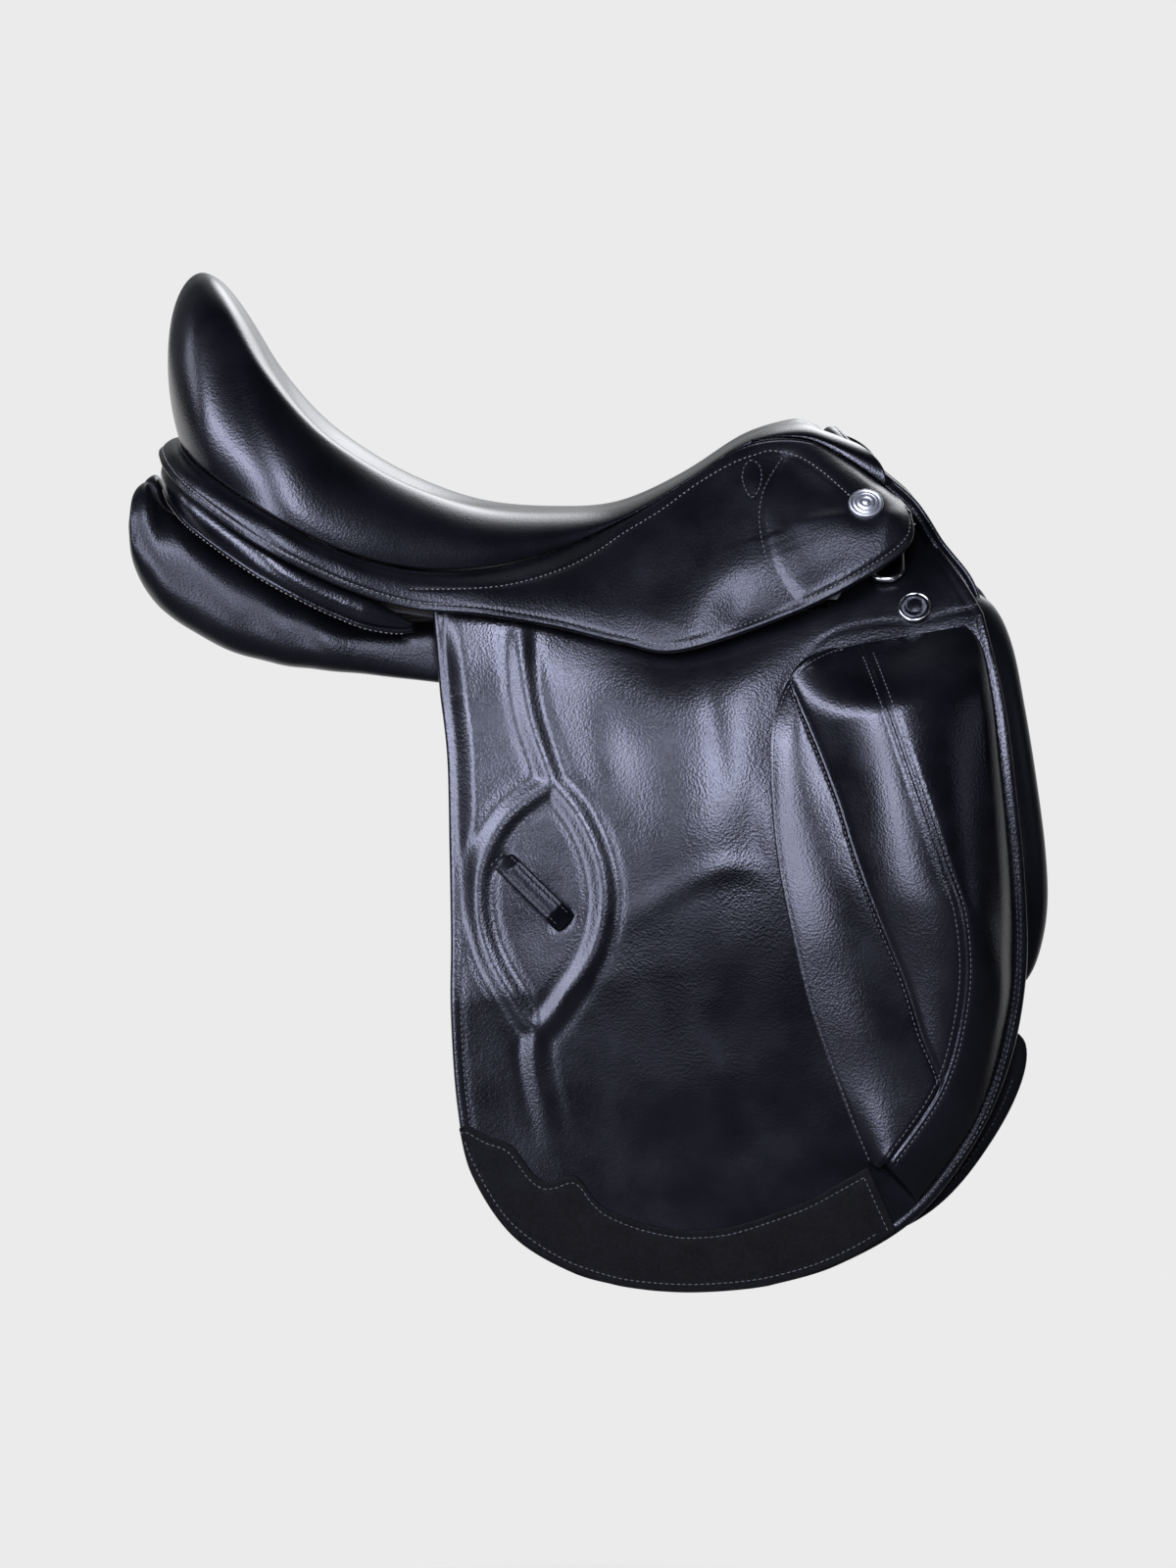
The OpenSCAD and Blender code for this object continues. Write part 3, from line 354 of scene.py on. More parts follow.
def leatherFinish(name, look):
    finish, tree, shader, coords = newFinish(name)
    grain = addNode(tree, "ShaderNodeTexVoronoi",
                    {"Vector": coords, "Scale": look["grainScale"], "Randomness": 1.0}).outputs["Distance"]
    cloudy = noiseNode(tree, coords, look["cloudScale"], 5.0)
    worn = rangeNode(tree, cloudy, 0, 1, 0.35, 0.72)
    fine = noiseNode(tree, coords, look["grainScale"] * 0.45, 3.0, 0.65)
    soft = bumpNode(tree, noiseNode(tree, coords, look["creaseScale"], 4.0), look["crease"], 0.0012)
    dimple = bumpNode(tree, fine, look["grain"] * 0.8, 0.00025, Normal=soft)
    feed(tree, shader, {
        "Base Color": blendColours(tree, worn, look["colour"], look["worn"]),
        "Roughness": rangeNode(tree, cloudy, *look["rough"]),
        "Specular IOR Level": look["specular"],
        "Specular Tint": (*look["tint"], 1),
        "Normal": bumpNode(tree, grain, look["grain"], 0.0003, Normal=dimple)})
    return finish


def suedeFinish(name, look):
    finish, tree, shader, coords = newFinish(name)
    nap = noiseNode(tree, coords, look["napScale"], 6.0, 0.75)
    tips = rangeNode(tree, nap, 0, 1, 0.3, 0.75)
    drift = noiseNode(tree, coords, look["driftScale"], 3.0)
    feed(tree, shader, {
        "Base Color": blendColours(tree, tips, look["colour"], look["tips"]),
        "Roughness": rangeNode(tree, drift, 0.86, 1.0),
        "Specular IOR Level": 0.15,
        "Sheen Weight": look["sheen"],
        "Sheen Roughness": 0.5,
        "Sheen Tint": (0.5, 0.5, 0.55, 1),
        "Normal": bumpNode(tree, nap, 0.6, 0.0008)})
    return finish


def metalFinish(name, look):
    finish, tree, shader, coords = newFinish(name)
    smear = noiseNode(tree, coords, 140, 5.0, 0.6)
    scratch = noiseNode(tree, coords, 900, 2.0)
    feed(tree, shader, {
        "Base Color": blendColours(tree, rangeNode(tree, smear, 0, 1), look["colour"], look["dull"]),
        "Roughness": rangeNode(tree, smear, *look["rough"]),
        "Metallic": 1.0,
        "Normal": bumpNode(tree, scratch, look["scratch"], 0.0001)})
    return finish


def threadFinish(name, colour, bright):
    finish, tree, shader, coords = newFinish(name)
    twist = noiseNode(tree, coords, 1800, 2.0)
    feed(tree, shader, {
        "Base Color": blendColours(tree, rangeNode(tree, twist, 0, 1), colour, bright),
        "Roughness": rangeNode(tree, twist, 0.45, 0.7),
        "Normal": bumpNode(tree, twist, 0.5, 0.0002)})
    return finish


def plainFinish(name, colour, other, rough, scale, bump=0.3):
    finish, tree, shader, coords = newFinish(name)
    spots = noiseNode(tree, coords, scale, 5.0, 0.6)
    feed(tree, shader, {
        "Base Color": blendColours(tree, rangeNode(tree, spots, 0, 1), colour, other),
        "Roughness": rangeNode(tree, spots, rough - 0.06, rough + 0.06),
        "Normal": bumpNode(tree, spots, bump, 0.0006)})
    return finish


smoothLook = {"colour": (0.0014, 0.0015, 0.0022), "worn": (0.0035, 0.0037, 0.0052), "rough": (0.2, 0.29),
              "specular": 0.5, "tint": (0.84, 0.86, 1.0), "grainScale": 640, "cloudScale": 26,
              "creaseScale": 34, "crease": 0.02, "grain": 0.3}
seatLook = dict(smoothLook, rough=(0.22, 0.3), grain=0.26, crease=0.03, cloudScale=16)
skirtLook = dict(smoothLook, rough=(0.27, 0.36), specular=0.4, grain=0.4)
keeperLook = dict(smoothLook, specular=0.16)
panelLook = dict(smoothLook, colour=(0.002, 0.0021, 0.0028), rough=(0.28, 0.38), specular=0.34, crease=0.12)
strapLook = dict(smoothLook, colour=(0.012, 0.0115, 0.0115), worn=(0.028, 0.026, 0.025), rough=(0.4, 0.55))
suedeLook = {"colour": (0.0006, 0.0006, 0.0008), "tips": (0.006, 0.006, 0.0075), "sheen": 0.01,
             "napScale": 420, "driftScale": 60}

smoothLeather = leatherFinish("smoothLeather", smoothLook)
seatLeather = leatherFinish("seatLeather", seatLook)
skirtLeather = leatherFinish("skirtLeather", skirtLook)
keeperLeather = leatherFinish("keeperLeather", keeperLook)
panelLeather = leatherFinish("panelLeather", panelLook)
strapLeather = leatherFinish("strapLeather", strapLook)
blackSuede = suedeFinish("blackSuede", suedeLook)
polishedNickel = metalFinish("polishedNickel", {"colour": (0.82, 0.82, 0.83), "dull": (0.62, 0.62, 0.64),
                                                "rough": (0.12, 0.26), "scratch": 0.06})
forgedSteel = metalFinish("forgedSteel", {"colour": (0.5, 0.5, 0.52), "dull": (0.36, 0.36, 0.38),
                                          "rough": (0.28, 0.42), "scratch": 0.15})
springSteel = metalFinish("springSteel", {"colour": (0.3, 0.31, 0.34), "dull": (0.2, 0.2, 0.22),
                                          "rough": (0.35, 0.5), "scratch": 0.15})
brushedNickel = metalFinish("brushedNickel", {"colour": (0.5, 0.52, 0.56), "dull": (0.34, 0.35, 0.39),
                                              "rough": (0.36, 0.5), "scratch": 0.3})
darkThread = threadFinish("darkThread", (0.026, 0.026, 0.031), (0.09, 0.09, 0.102))
greyThread = threadFinish("greyThread", (0.07, 0.068, 0.068), (0.2, 0.19, 0.19))
treeWood = plainFinish("treeWood", (0.1, 0.07, 0.045), (0.06, 0.042, 0.027), 0.6, 60)
webbing = plainFinish("webbing", (0.62, 0.57, 0.46), (0.45, 0.41, 0.33), 0.9, 600, 0.6)
print("finishes ready")

# rows of stitches wait here until their pieces are laid
stitchRows = {}


def addStitches(body, thread, path):
    if len(path) > 1:
        stitchRows.setdefault((body, thread), []).append(np.asarray(path))


def addStitchPair(body, thread, path):
    if len(path) > 1:
        addStitches(body.format("left"), thread, path)
        addStitches(body.format("right"), thread, np.asarray(path) * flipY)


# side wall: the surface that the flaps lie over, written from the straight fold line
wallCut = {"foldX": 75.0, "foldZ": 17.0, "foldY": 104.0, "tilt": math.radians(8.5), "wallY": 151.0,
           "bow": 8.0, "bowCentre": -42.0, "bowSpan": 170.0, "plumbBelow": 190.0,
           "bendReach": 26.0, "bendFade": 32.0, "bendNear": 60.0}
flapIn, flapOut = 13.7, 18.7
slack = 0.5


def belowFold(x, z):
    c = wallCut
    return (c["foldZ"] - z) * math.cos(c["tilt"]) + (x - c["foldX"]) * math.sin(c["tilt"])


def foldAt(x):
    return wallCut["foldZ"] + (x - wallCut["foldX"]) * math.tan(wallCut["tilt"])


def foldPoint(x, n):
    return [x + n * math.sin(wallCut["tilt"]), foldAt(x) - n * math.cos(wallCut["tilt"])]


def wallAt(x, z):
    c = wallCut
    n = belowFold(x, z)
    s = (x - c["foldX"]) * math.cos(c["tilt"]) + (z - c["foldZ"]) * math.sin(c["tilt"])
    f = ease((s + 130) / 150)
    above = c["foldY"] + mix(0.1, 0.55, f) * n - mix(0, 0.006, f) * n * n
    curve = np.maximum(0, 1 - n / c["plumbBelow"]) ** mix(1.3, 2.1, f)
    bow = c["bow"] * ((s - c["bowCentre"]) / c["bowSpan"]) ** 2 * ease(n / 160)
    return np.where(n < 0, above, c["wallY"] - (c["wallY"] - c["foldY"]) * np.minimum(curve, 1) - bow)


def easedWall(x, z):  # the same wall with the bend at the fold spread out
    c, s = math.cos(wallCut["tilt"]), math.sin(wallCut["tilt"])
    reach = np.linspace(-wallCut["bendReach"], wallCut["bendReach"], 9)
    share = 1 - np.abs(reach) / wallCut["bendFade"]
    near = ease(1 - np.abs(belowFold(x, z)) / wallCut["bendNear"])
    spread = sum(w * wallAt(x + d * s, z - d * c) for d, w in zip(reach, share))
    return mix(wallAt(x, z), spread / share.sum(), near)


def onWall(flatGrid, off, wall=wallAt):
    x, z = flatGrid[..., 0], flatGrid[..., 1]
    return np.stack([x, wall(x, z) + off, z], -1)


def betweenLines(first, second, rows, cols):  # side-view grid between two curves
    t = np.linspace(0, 1, rows)
    a, b = splineAt(first, t), splineAt(second, t)
    v = np.linspace(0, 1, cols)[None, :, None]
    return a[:, None] * (1 - v) + b[:, None] * v


# seat: welt at the foot, ridge along the outline, spine down the middle
seatCut = {"rows": 190, "cols": 84, "thick": 2.5, "welt": 4.4, "weltStart": 0.012, "weltGap": 1.3}
weltLine = [[188, 62, 121], [161, 60, 140], [134, 55, 151.5], [100, 51, 147.5], [62, 55, 123.4],
            [22, 67, 100], [-20, 85.4, 82], [-65, 104.6, 72], [-110, 119, 72], [-155, 129, 84],
            [-200, 131, 107], [-238, 110, 131], [-254, 76, 144], [-259, 38, 150], [-260, 0, 152]]
ridgeLine = [[155, 32, 151], [145, 30, 156], [131, 27, 159.5], [99, 25, 150.5], [61, 26, 126.6],
             [20, 34, 107.5], [-22, 46, 104], [-66, 62, 107], [-106, 80, 119.5], [-140, 92, 137],
             [-174, 98, 161.8], [-206, 88, 198.6], [-226, 64, 232], [-238, 33, 249.5], [-245, 0, 255]]
spineLine = [[145, 0, 157.5], [138, 0, 160.3], [128, 0, 161], [98, 0, 151.5], [61, 0, 127.5], [20, 0, 109],
             [-20, 0, 105], [-60, 0, 104.5], [-98, 0, 107], [-130, 0, 117], [-155, 0, 129], [-172, 0, 140.5],
             [-183, 0, 149], [-188, 0, 153.5], [-190, 0, 156]]


def seatPoint(u, v):
    u, v = np.broadcast_arrays(np.asarray(u, float), np.asarray(v, float))
    p, r, c = splineAt(weltLine, u), splineAt(ridgeLine, u), splineAt(spineLine, u)
    level, rise = np.array([1, 1, 0]), np.array([0, 0, 1])
    out, down, up = (p - r) * level, (c - r) * level, (r - p) * rise
    full = 12 * ease((u - 0.78) / 0.16)[..., None]
    flank = p + 0.5 * up + unit(out) * (4 + full) * ease(up[..., 2:] / 40)
    lower = bezier(p, flank, r + 0.5 * out + unit(out) * full, r, np.clip(2 * v, 0, 1))
    upper = bezier(r, r + 0.38 * down, c - 0.42 * down * np.array([0.15, 1, 0]), c, np.clip(2 * v - 1, 0, 1))
    return np.where((v < 0.5)[..., None], lower, upper)


def seatRim(u, d):
    p = seatPoint(u, 0.0)
    return p + unit(p - seatPoint(u, 0.04)) * d


def makeSeat():
    u, v = np.meshgrid(np.linspace(0, 1, seatCut["rows"]), np.linspace(0, 1, seatCut["cols"]), indexing="ij")
    half = seatPoint(u, v)
    half[-1, :, 1] = 0
    half[:, -1, 1] = 0
    whole = bothHalves(half)
    for _ in range(14):  # eases the joints between the curves
        wide = np.concatenate([whole, whole[::-1, -2:-1]], axis=1)
        near = (whole[:-2, 1:] + whole[2:, 1:] + wide[1:-1, :-2] + wide[1:-1, 2:]) / 4
        whole[1:-1, 1:] = mix(whole[1:-1, 1:], near, 0.5)
    rows, cols = whole.shape[:2]
    seat = addPiece("seat", whole.reshape(-1, 3), gridFaces(rows, cols), seatLeather)
    if sum(p.normal.z * p.area for p in seat.data.polygons) < 0:
        seat.data.flip_normals()
    wall = seat.modifiers.new("thickness", "SOLIDIFY")
    wall.thickness = seatCut["thick"] * mm
    wall.offset = -1
    applyModifiers(seat)
    settle(seat, "saddle", "black_leather", "seat_cover", "seat_foam")


def makeWelt():
    r = seatCut["welt"] / 2
    half = seatRim(np.linspace(seatCut["weltStart"], 1, 170), seatCut["weltGap"] + r)
    half[-1, 1] = 0
    welt = addPiece("seatWelt", *tubeMesh(bothHalves(half), r, r), smoothLeather)
    settle(welt, "saddle", "black_leather", "seat_welt")


makeSeat()
makeWelt()
print("seat ready")

# skirts: they hang from the welt, with a stitched pad over the stirrup bar
skirtCut = {"rows": 74, "cols": 320, "thick": 4.0, "swell": 7.0, "stud": (172.6, 110.4), "hem": 3.6,
            "seamDepth": 0.7, "pucker": 0.15, "waves": 0.35}
skirtLine = [[203, 89, 104], [199, 107, 84], [168, 119, 63], [124, 123, 42], [58, 127, 20.5], [22, 124, 25],
             [-20, 122.5, 35], [-66, 125.5, 43], [-112, 129, 48], [-156, 135, 63], [-203, 137.5, 87],
             [-245, 117, 115], [-262, 81, 130], [-268, 40, 137], [-270, 0, 139]]
skirtStitch = evenPath([[-109.8, 60.4], [-80.5, 60.4], [-50.6, 62.8], [-21.3, 70.8], [1.2, 81.1],
                        [23.2, 95.8], [45.1, 109.2], [67.7, 125.7], [89.7, 138.5], [104.3, 144],
                        [114.7, 146.4], [131.2, 142.7], [146.4, 133], [162.3, 119]])
padSeam = evenPath([[122.8, 141.6], [113, 125.2], [108.9, 108.7], [110.5, 90.7], [116.2, 72.6],
                    [124.4, 59.5], [131, 51.3]])
skirtPatch = evenPath([[96, 130], [97.5, 137], [102, 140.5], [106.8, 137], [108, 130], [106.5, 123],
                       [102.3, 117.5], [97.8, 123], [96, 130]], 1.5)
# lines along which the padded leather rises: line, height, half width on each side
skirtRidges = [
    (evenPath([[126, 97], [140, 100.6], [159, 104], [178, 104.5], [198, 103]]), 3.4, 6.5, 26.0),
    (evenPath([[56, 22], [64, 42], [74, 60], [90, 73], [104, 79]]), 2.6, 28.0, 18.0),
    (evenPath([[116, 88], [121, 72], [128.5, 59], [136, 49]]), 1.4, 24.0, 8.0)]
skirtSwells = [(98, 50, 15, 15, 20, -1.8), (138, 126, 25, 13, -27, -3.8), (160, 67, 34, 13, 28, 1.5),
               (30, 62, 30, 18, 20, -1.4), (0, 46, 28, 12, -12, 0.8), (56, 96, 26, 14, 38, 1.0)]


def skirtPoint(u, v):
    p, e = seatRim(u, 6.4), splineAt(skirtLine, u)
    swell = skirtCut["swell"] * np.sin(np.pi * v) * mix(ease(u / 0.08), 0.45, ease((u - 0.3) / 0.25))
    v = v[..., None]
    return p * (1 - v) + e * v + np.array([0, 0.4, 0]) + swell[..., None] * np.array([0, 0.8, 0.6])


def skirtRelief(x, z, below):
    relief = sum(softSpot(x, z, spot) for spot in skirtSwells)
    for line, height, left, right in skirtRidges:
        away, station = fromLine(line, x, z)
        fade = np.clip(np.minimum(station, 1 - station) * 6, 0, 1)
        slopes = np.where(away > 0, bell(away, left), bell(away, right))
        relief = relief + height * slopes * mix(0.35, 1, fade)
    seam, patch = fromLine(padSeam, x, z)[0], fromLine(skirtPatch, x, z)[0]
    relief -= 1.5 * bell(seam, 6) + skirtCut["seamDepth"] * bell(seam, 1.2)
    relief -= 0.4 * bell(fromLine(skirtStitch, x, z)[0], 1.3)
    relief += softSpot(x, z, (102, 129, 6, 11, 0, 0.7)) - 0.35 * bell(patch, 1.3)
    relief += skirtCut["pucker"] * ripples(x, z * 0.4, 9, 5) * bell(seam - 12, 12)
    relief += skirtCut["waves"] * ripples(x, z, 46, 11) * ease((x + 60) / 80)
    relief *= 1 - bell(np.hypot(x - skirtCut["stud"][0], z - skirtCut["stud"][1]), 11)
    relief *= ease(below / 7)
    return relief - 0.35 * bell(below - skirtCut["hem"], 0.9)


def makeSkirts():
    along, down = np.linspace(0, 1, skirtCut["cols"]), np.linspace(0, 1, skirtCut["rows"])
    u, v = np.meshgrid(along, down, indexing="ij")
    base = skirtPoint(u, v)
    normals = gridNormals(base)
    normals *= np.sign(normals[..., 1].mean())
    below = np.linalg.norm(base - base[:, -1:], axis=-1)
    relief = skirtRelief(*seenFrom(base + normals * skirtCut["thick"]), below) * ease(v / 0.12)
    outer = base + normals * (relief[..., None] + skirtCut["thick"])
    pair = addPair("skirt", *rolledSheet(outer, base, 8, 0.7), skirtLeather)
    settlePair(pair, "saddle", "black_leather", "skirt_{}")
    hem = insetLine(outer[::2, ::-1], skirtCut["hem"])
    addStitchPair("saddle", "grey", hem[1:-1])
    skin = skinOf(pair["left"])
    for line, thread in ((skirtStitch, "grey"), (padSeam - [2.2, 0], "dark"), (skirtPatch, "dark")):
        addStitchPair("saddle", thread, layOn(skin, line, 0.05))


makeSkirts()
print("skirts ready")

# padded roll round the back, and the facing down the front arch
rollCut = {"d": 19.0, "start": 0.566, "taper": 34.0, "piping": 1.7}
facingCut = {"d": 11.0, "rows": 120, "taper": 26, "piping": 1.4}
facingLine = [[247, 103, 42], [242, 98.5, 53], [234.5, 92, 66], [220, 81, 84], [210, 71, 100],
              [201, 63.5, 111.5], [183, 48, 126.5], [166, 32, 142], [158, 14, 150], [155, 0, 152.5]]


def makeCantleRoll():
    r = rollCut["d"] / 2
    u = np.linspace(rollCut["start"], 1, 150)
    e = splineAt(skirtLine, u)
    t = splineAt(skirtLine, np.minimum(1, u + 0.02)) - splineAt(skirtLine, u - 0.02)
    out = unit(np.stack([t[:, 1], -t[:, 0], 0 * u], 1))
    out[-1] = [-1, 0, 0]
    half = e - out * (r - 3) - np.array([0, 0, r + slack + 1.4])
    half[-1, 1] = 0
    run = np.r_[0, np.cumsum(np.linalg.norm(np.diff(half, axis=0), axis=1))]
    taper = np.sqrt(np.clip(run / rollCut["taper"], 0.02, 1))
    size = np.r_[taper, taper[-2::-1]]
    roll = addPiece("cantleRoll", *tubeMesh(bothHalves(half), (r - 1) * size, r * size, 28), smoothLeather)
    settle(roll, "saddle", "black_leather", "cantle_roll")
    drop = r * 0.8 * taper[:, None] + 1.2
    low = half + out * (r - 1.6) * taper[:, None] * 0.72 - np.array([0, 0, 1]) * drop
    low[-1, 1] = 0
    cord = tubeMesh(bothHalves(low), rollCut["piping"], rollCut["piping"], 10)
    settle(addPiece("rollPiping", *cord, smoothLeather), "saddle", "black_leather")
    row = low + out * 1.4 - np.array([0, 0, rollCut["piping"]])
    addStitchPair("saddle", "grey", row[4:-1])


def makeFacing():
    r = facingCut["d"] / 2
    line = splineAt(facingLine, np.linspace(0, 1, facingCut["rows"]))
    line[-1, 1] = 0
    taper = mix(0.35, 1, ease(np.arange(facingCut["rows"]) / facingCut["taper"]))
    size = np.r_[taper, taper[-2::-1]]
    band = tubeMesh(bothHalves(line), r * size, r * 0.75 * size, 18)
    settle(addPiece("pommelFacing", *band, smoothLeather), "saddle", "black_leather", "pommel_facing")
    way = unit(np.stack([np.gradient(line[:, 2]), 0 * line[:, 0], -np.gradient(line[:, 0])], 1))
    edge = line + taper[:, None] * (way * 3.4 + np.array([0, 2.6, 0]) * ease(line[:, 1:2] / 30))
    edge[-1, 1] = 0
    cord = tubeMesh(bothHalves(edge), facingCut["piping"], facingCut["piping"], 10)
    settle(addPiece("facingPiping", *cord, smoothLeather), "saddle", "black_leather")


makeCantleRoll()
makeFacing()
print("rolls ready")

# flap: one sheet of leather from the head down, with a raised leaf round the keeper
flapCut = {"headRows": 30, "rows": 196, "cols": 176, "leafRise": 1.7, "leafWidth": 5.0, "full": 6.0,
           "turnOut": 38.0, "footFrom": 0.8, "footDrop": 3.4, "hem": 5.0, "stitchedTo": -272}
headRear, headFront = -91.0, 246.0
flapRear = [foldPoint(headRear, 0.25), [-86.5, -46.4], [-85, -101.8], [-84, -157.2], [-84, -204.8],
            [-80, -262], [-71, -304], [-46, -342], [-9, -364.5], [24, -373.2]]
flapFront = [foldPoint(headFront, 0.25), [259, -14.7], [266, -70.1], [271, -121.6], [272, -177],
             [262, -234], [239, -286], [202, -332], [154, -360], [112, -372.4]]
headUpper = [[-96, 47], [-40, 42], [20, 34], [80, 36], [125, 42], [160, 50], [173, 88], [185, 94], [198, 96]]
headLower = [foldPoint(mix(headRear, headFront, k / 8), -0.15) for k in range(9)]
wingRear = [[163, 24], [147, 20], [130, 9], [117, -16], [113.5, -51], [116.5, -98], [124, -141], [138, -200],
            [160, -262], [174, -297]]


def flapSide():  # side view of the flap and its head as one grid
    across = np.linspace(0, 1, flapCut["cols"])
    upper, lower = splineAt(headUpper, across), splineAt(headLower, across)
    down = np.linspace(0, 1, flapCut["headRows"])[:, None]
    head = upper[None] * (1 - down[..., None]) + lower[None] * down[..., None]
    head[..., 0] += 10 * (1 - down**2) * ease((across - 0.84) / 0.16)[None]
    body = betweenLines(flapRear, flapFront, flapCut["rows"], flapCut["cols"])[1:]
    start = flapCut["footFrom"]
    low = ease((np.linspace(0, 1, flapCut["rows"]) - start) / (1 - start))[1:, None]
    body[..., 1] -= flapCut["footDrop"] * low * (4 * across * (1 - across))[None]
    return np.concatenate([head, body])


flapGrid = flapSide()
flapEdge = np.concatenate([flapGrid[::3, 0], flapGrid[-1, ::3], flapGrid[::-3, -1]])
leafStem = [[-43, 40], [-42, 21], [-40, 0], [-36, -21], [-29.3, -41.5], [-22.6, -61]]
leafRim = [[-22.6, -61], [-6, -80.5], [6, -107], [9.8, -134], [3.7, -163.5], [-12, -190], [-31.7, -212],
           [-49, -190], [-63, -163.5], [-69, -134], [-65, -107], [-49, -80.5], [-22.6, -61]]
leafTrail = [[-31.7, -212], [-33.5, -229], [-31, -247], [-27, -265], [-24, -284]]
leafLines = [(evenPath(leafStem), (0.7, 1.0)),
             (evenPath(leafRim), (1.0, 1.0)),
             (evenPath(leafTrail), (1.0, 0.1))]
longFold = [[22, -148], [48.8, -129.3], [70, -117.7], [88.5, -112.2], [103.7, -114], [117, -122]]
flapFolds = [(evenPath([[74, 8], [77.5, -18], [81.7, -43], [84, -64]]), 6.0, -0.45),
             (evenPath(longFold), 8.0, 0.9),
             (evenPath([[8, -22], [18, -50], [30, -78], [26, -100]]), 14.0, -0.6)]
flapSwells = [(8, -52, 16, 42, 8, -1.2), (56, -45, 30, 44, 0, 1.2), (100, -88, 16, 24, 0, -1.2),
              (58, -165, 60, 40, 20, -1.4), (40, -250, 60, 50, 0, 1.6), (-40, -20, 26, 30, 0, 1.0),
              (96, -170, 20, 40, 20, 1.2)]
skirtHem = evenPath([[203, 104], [199, 84], [168, 63], [124, 42], [58, 20.5], [22, 25], [-20, 35],
                     [-66, 43], [-112, 48]])
headSeam = evenPath([[120, -6], [126, 5], [146, 27], [172.5, 36.5], [205.5, 39], [243, 47]])
keeperCut = {"spot": (-33.5, -128.0), "turn": -45.0, "length": 56.0, "width": 14.5, "thick": 2.4,
             "gap": 6.6, "slitAt": 25.5, "slitDepth": 1.6}


def flapFull(x, z):  # the flap comes out from under the skirt in a soft swell
    under = np.clip(fromLine(skirtHem, x, z)[0], 0, flapCut["turnOut"])
    full = np.sin(np.pi / 2 * under / flapCut["turnOut"]) * (1 - ease((belowFold(x, z) - 45) / 125))
    return flapCut["full"] * full * ease((150 - x) / 60)


def flapRelief(x, z):
    edge = np.abs(fromLine(flapEdge, x, z)[0])
    wingSide = fromLine(evenPath(wingRear, 4), x, z)[0]
    clearOfBlock = ease((-wingSide + 2) / 16) * ease((foldAt(x) + 60 - z) / 40)
    relief = sum(softSpot(x, z, spot) for spot in flapSwells)
    for line, width, height in flapFolds:
        away, station = fromLine(line, x, z)
        relief = relief + height * bell(away, width) * np.sin(np.pi * np.clip(station, 0.04, 0.96)) ** 0.7
    relief = relief + 0.5 * ripples(x, z, 70, 3)
    nearest, height = np.full(np.shape(x), 1e9), np.zeros(np.shape(x))
    for line, (first, last) in leafLines:
        away, station = fromLine(line, x, z)
        near = np.abs(away) < nearest
        nearest = np.where(near, np.abs(away), nearest)
        height = np.where(near, mix(first, last, station), height)
    rise, width = flapCut["leafRise"], flapCut["leafWidth"]
    groove = 0.35 * bell(nearest - 1.95 * width, 0.7 * width)
    relief = relief + height * rise * (bell(nearest, width) - groove)
    relief = relief * clearOfBlock + flapFull(x, z)
    relief = relief * ease(edge / 16)
    c, s = math.cos(math.radians(keeperCut["turn"])), math.sin(math.radians(keeperCut["turn"]))
    dx, dz = x - keeperCut["spot"][0], z - keeperCut["spot"][1]
    along, across = dx * c + dz * s, dz * c - dx * s
    slit = bell(np.abs(along) - keeperCut["slitAt"], 4.0) * bell(across, 9.5) ** 2
    relief = relief - keeperCut["slitDepth"] * slit
    relief = relief - 0.5 * bell(fromLine(headSeam, x, z)[0], 1.2)
    return relief + 0.3 * bell(edge - 1.5, 1.6) - 0.5 * bell(edge - flapCut["hem"], 1.0)


def flapSurface(x, z):
    return easedWall(x, z) + flapOut + flapRelief(x, z)


def onFlap(path, lift):
    path = np.asarray(path, float)
    return np.stack([path[:, 0], flapSurface(path[:, 0], path[:, 1]) + lift, path[:, 1]], -1)


def bendWithFold(piece, side, slot, *stoodFor):  # bakes the piece's placement into its mesh and hides the parts it stands for
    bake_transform(piece)
    if stoodFor:
        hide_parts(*stoodFor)


def makeFlaps():
    outer = onWall(flapGrid, flapOut, easedWall)
    outer[..., 1] += flapRelief(flapGrid[..., 0], flapGrid[..., 1])
    pair = addPair("flap", *rolledSheet(outer, onWall(flapGrid, flapIn, easedWall), 8, 0.6), smoothLeather)
    for name, piece in pair.items():
        bendWithFold(piece, name, "black_leather", "flap_" + name, "flap_head_" + name)
    rows = flapCut["headRows"]
    rear = insetLine(outer[rows - 24:, :12], flapCut["hem"])[26:]
    front = insetLine(outer[rows - 10:, :-12:-1], flapCut["hem"])
    addStitchPair("flap_{}", "dark", rear[rear[:, 2] > flapCut["stitchedTo"]])
    addStitchPair("flap_{}", "dark", front[12:-14])
    addStitchPair("saddle", "dark", onFlap(headSeam[14:] + [0, 2.0], 0.1))


makeFlaps()
print("flaps ready")

# suede guard along the foot of the flap
guardCut = {"thick": 1.6, "rows": 26, "cols": 220, "hem": 3.6}
guardUpper = [[-79.5, -276], [-75, -275], [-62.8, -281.2], [-49.4, -286.1], [-42.7, -294], [-35.4, -303.8],
              [-27.4, -309.3], [-19.5, -308.7], [-11, -305.6], [-5.5, -308.1], [2.4, -319], [12.2, -327],
              [32.3, -334.9], [53, -339.2], [66.5, -339.8], [86.6, -337.9], [109.8, -331.2], [137.2, -320.9],
              [157.4, -309.9], [174, -300.5]]
guardLower = [[-79, -277], [-76, -291], [-72.5, -302], [-66, -315], [-57, -329], [-48, -339.5], [-36, -349],
              [-25, -356], [-12, -362.8], [0, -367], [12, -370.7], [24, -373.4], [40, -375.5], [56, -376.5],
              [70, -376.5], [90, -375.3], [112, -372.3], [140, -364.7], [166, -353.5], [191, -339]]


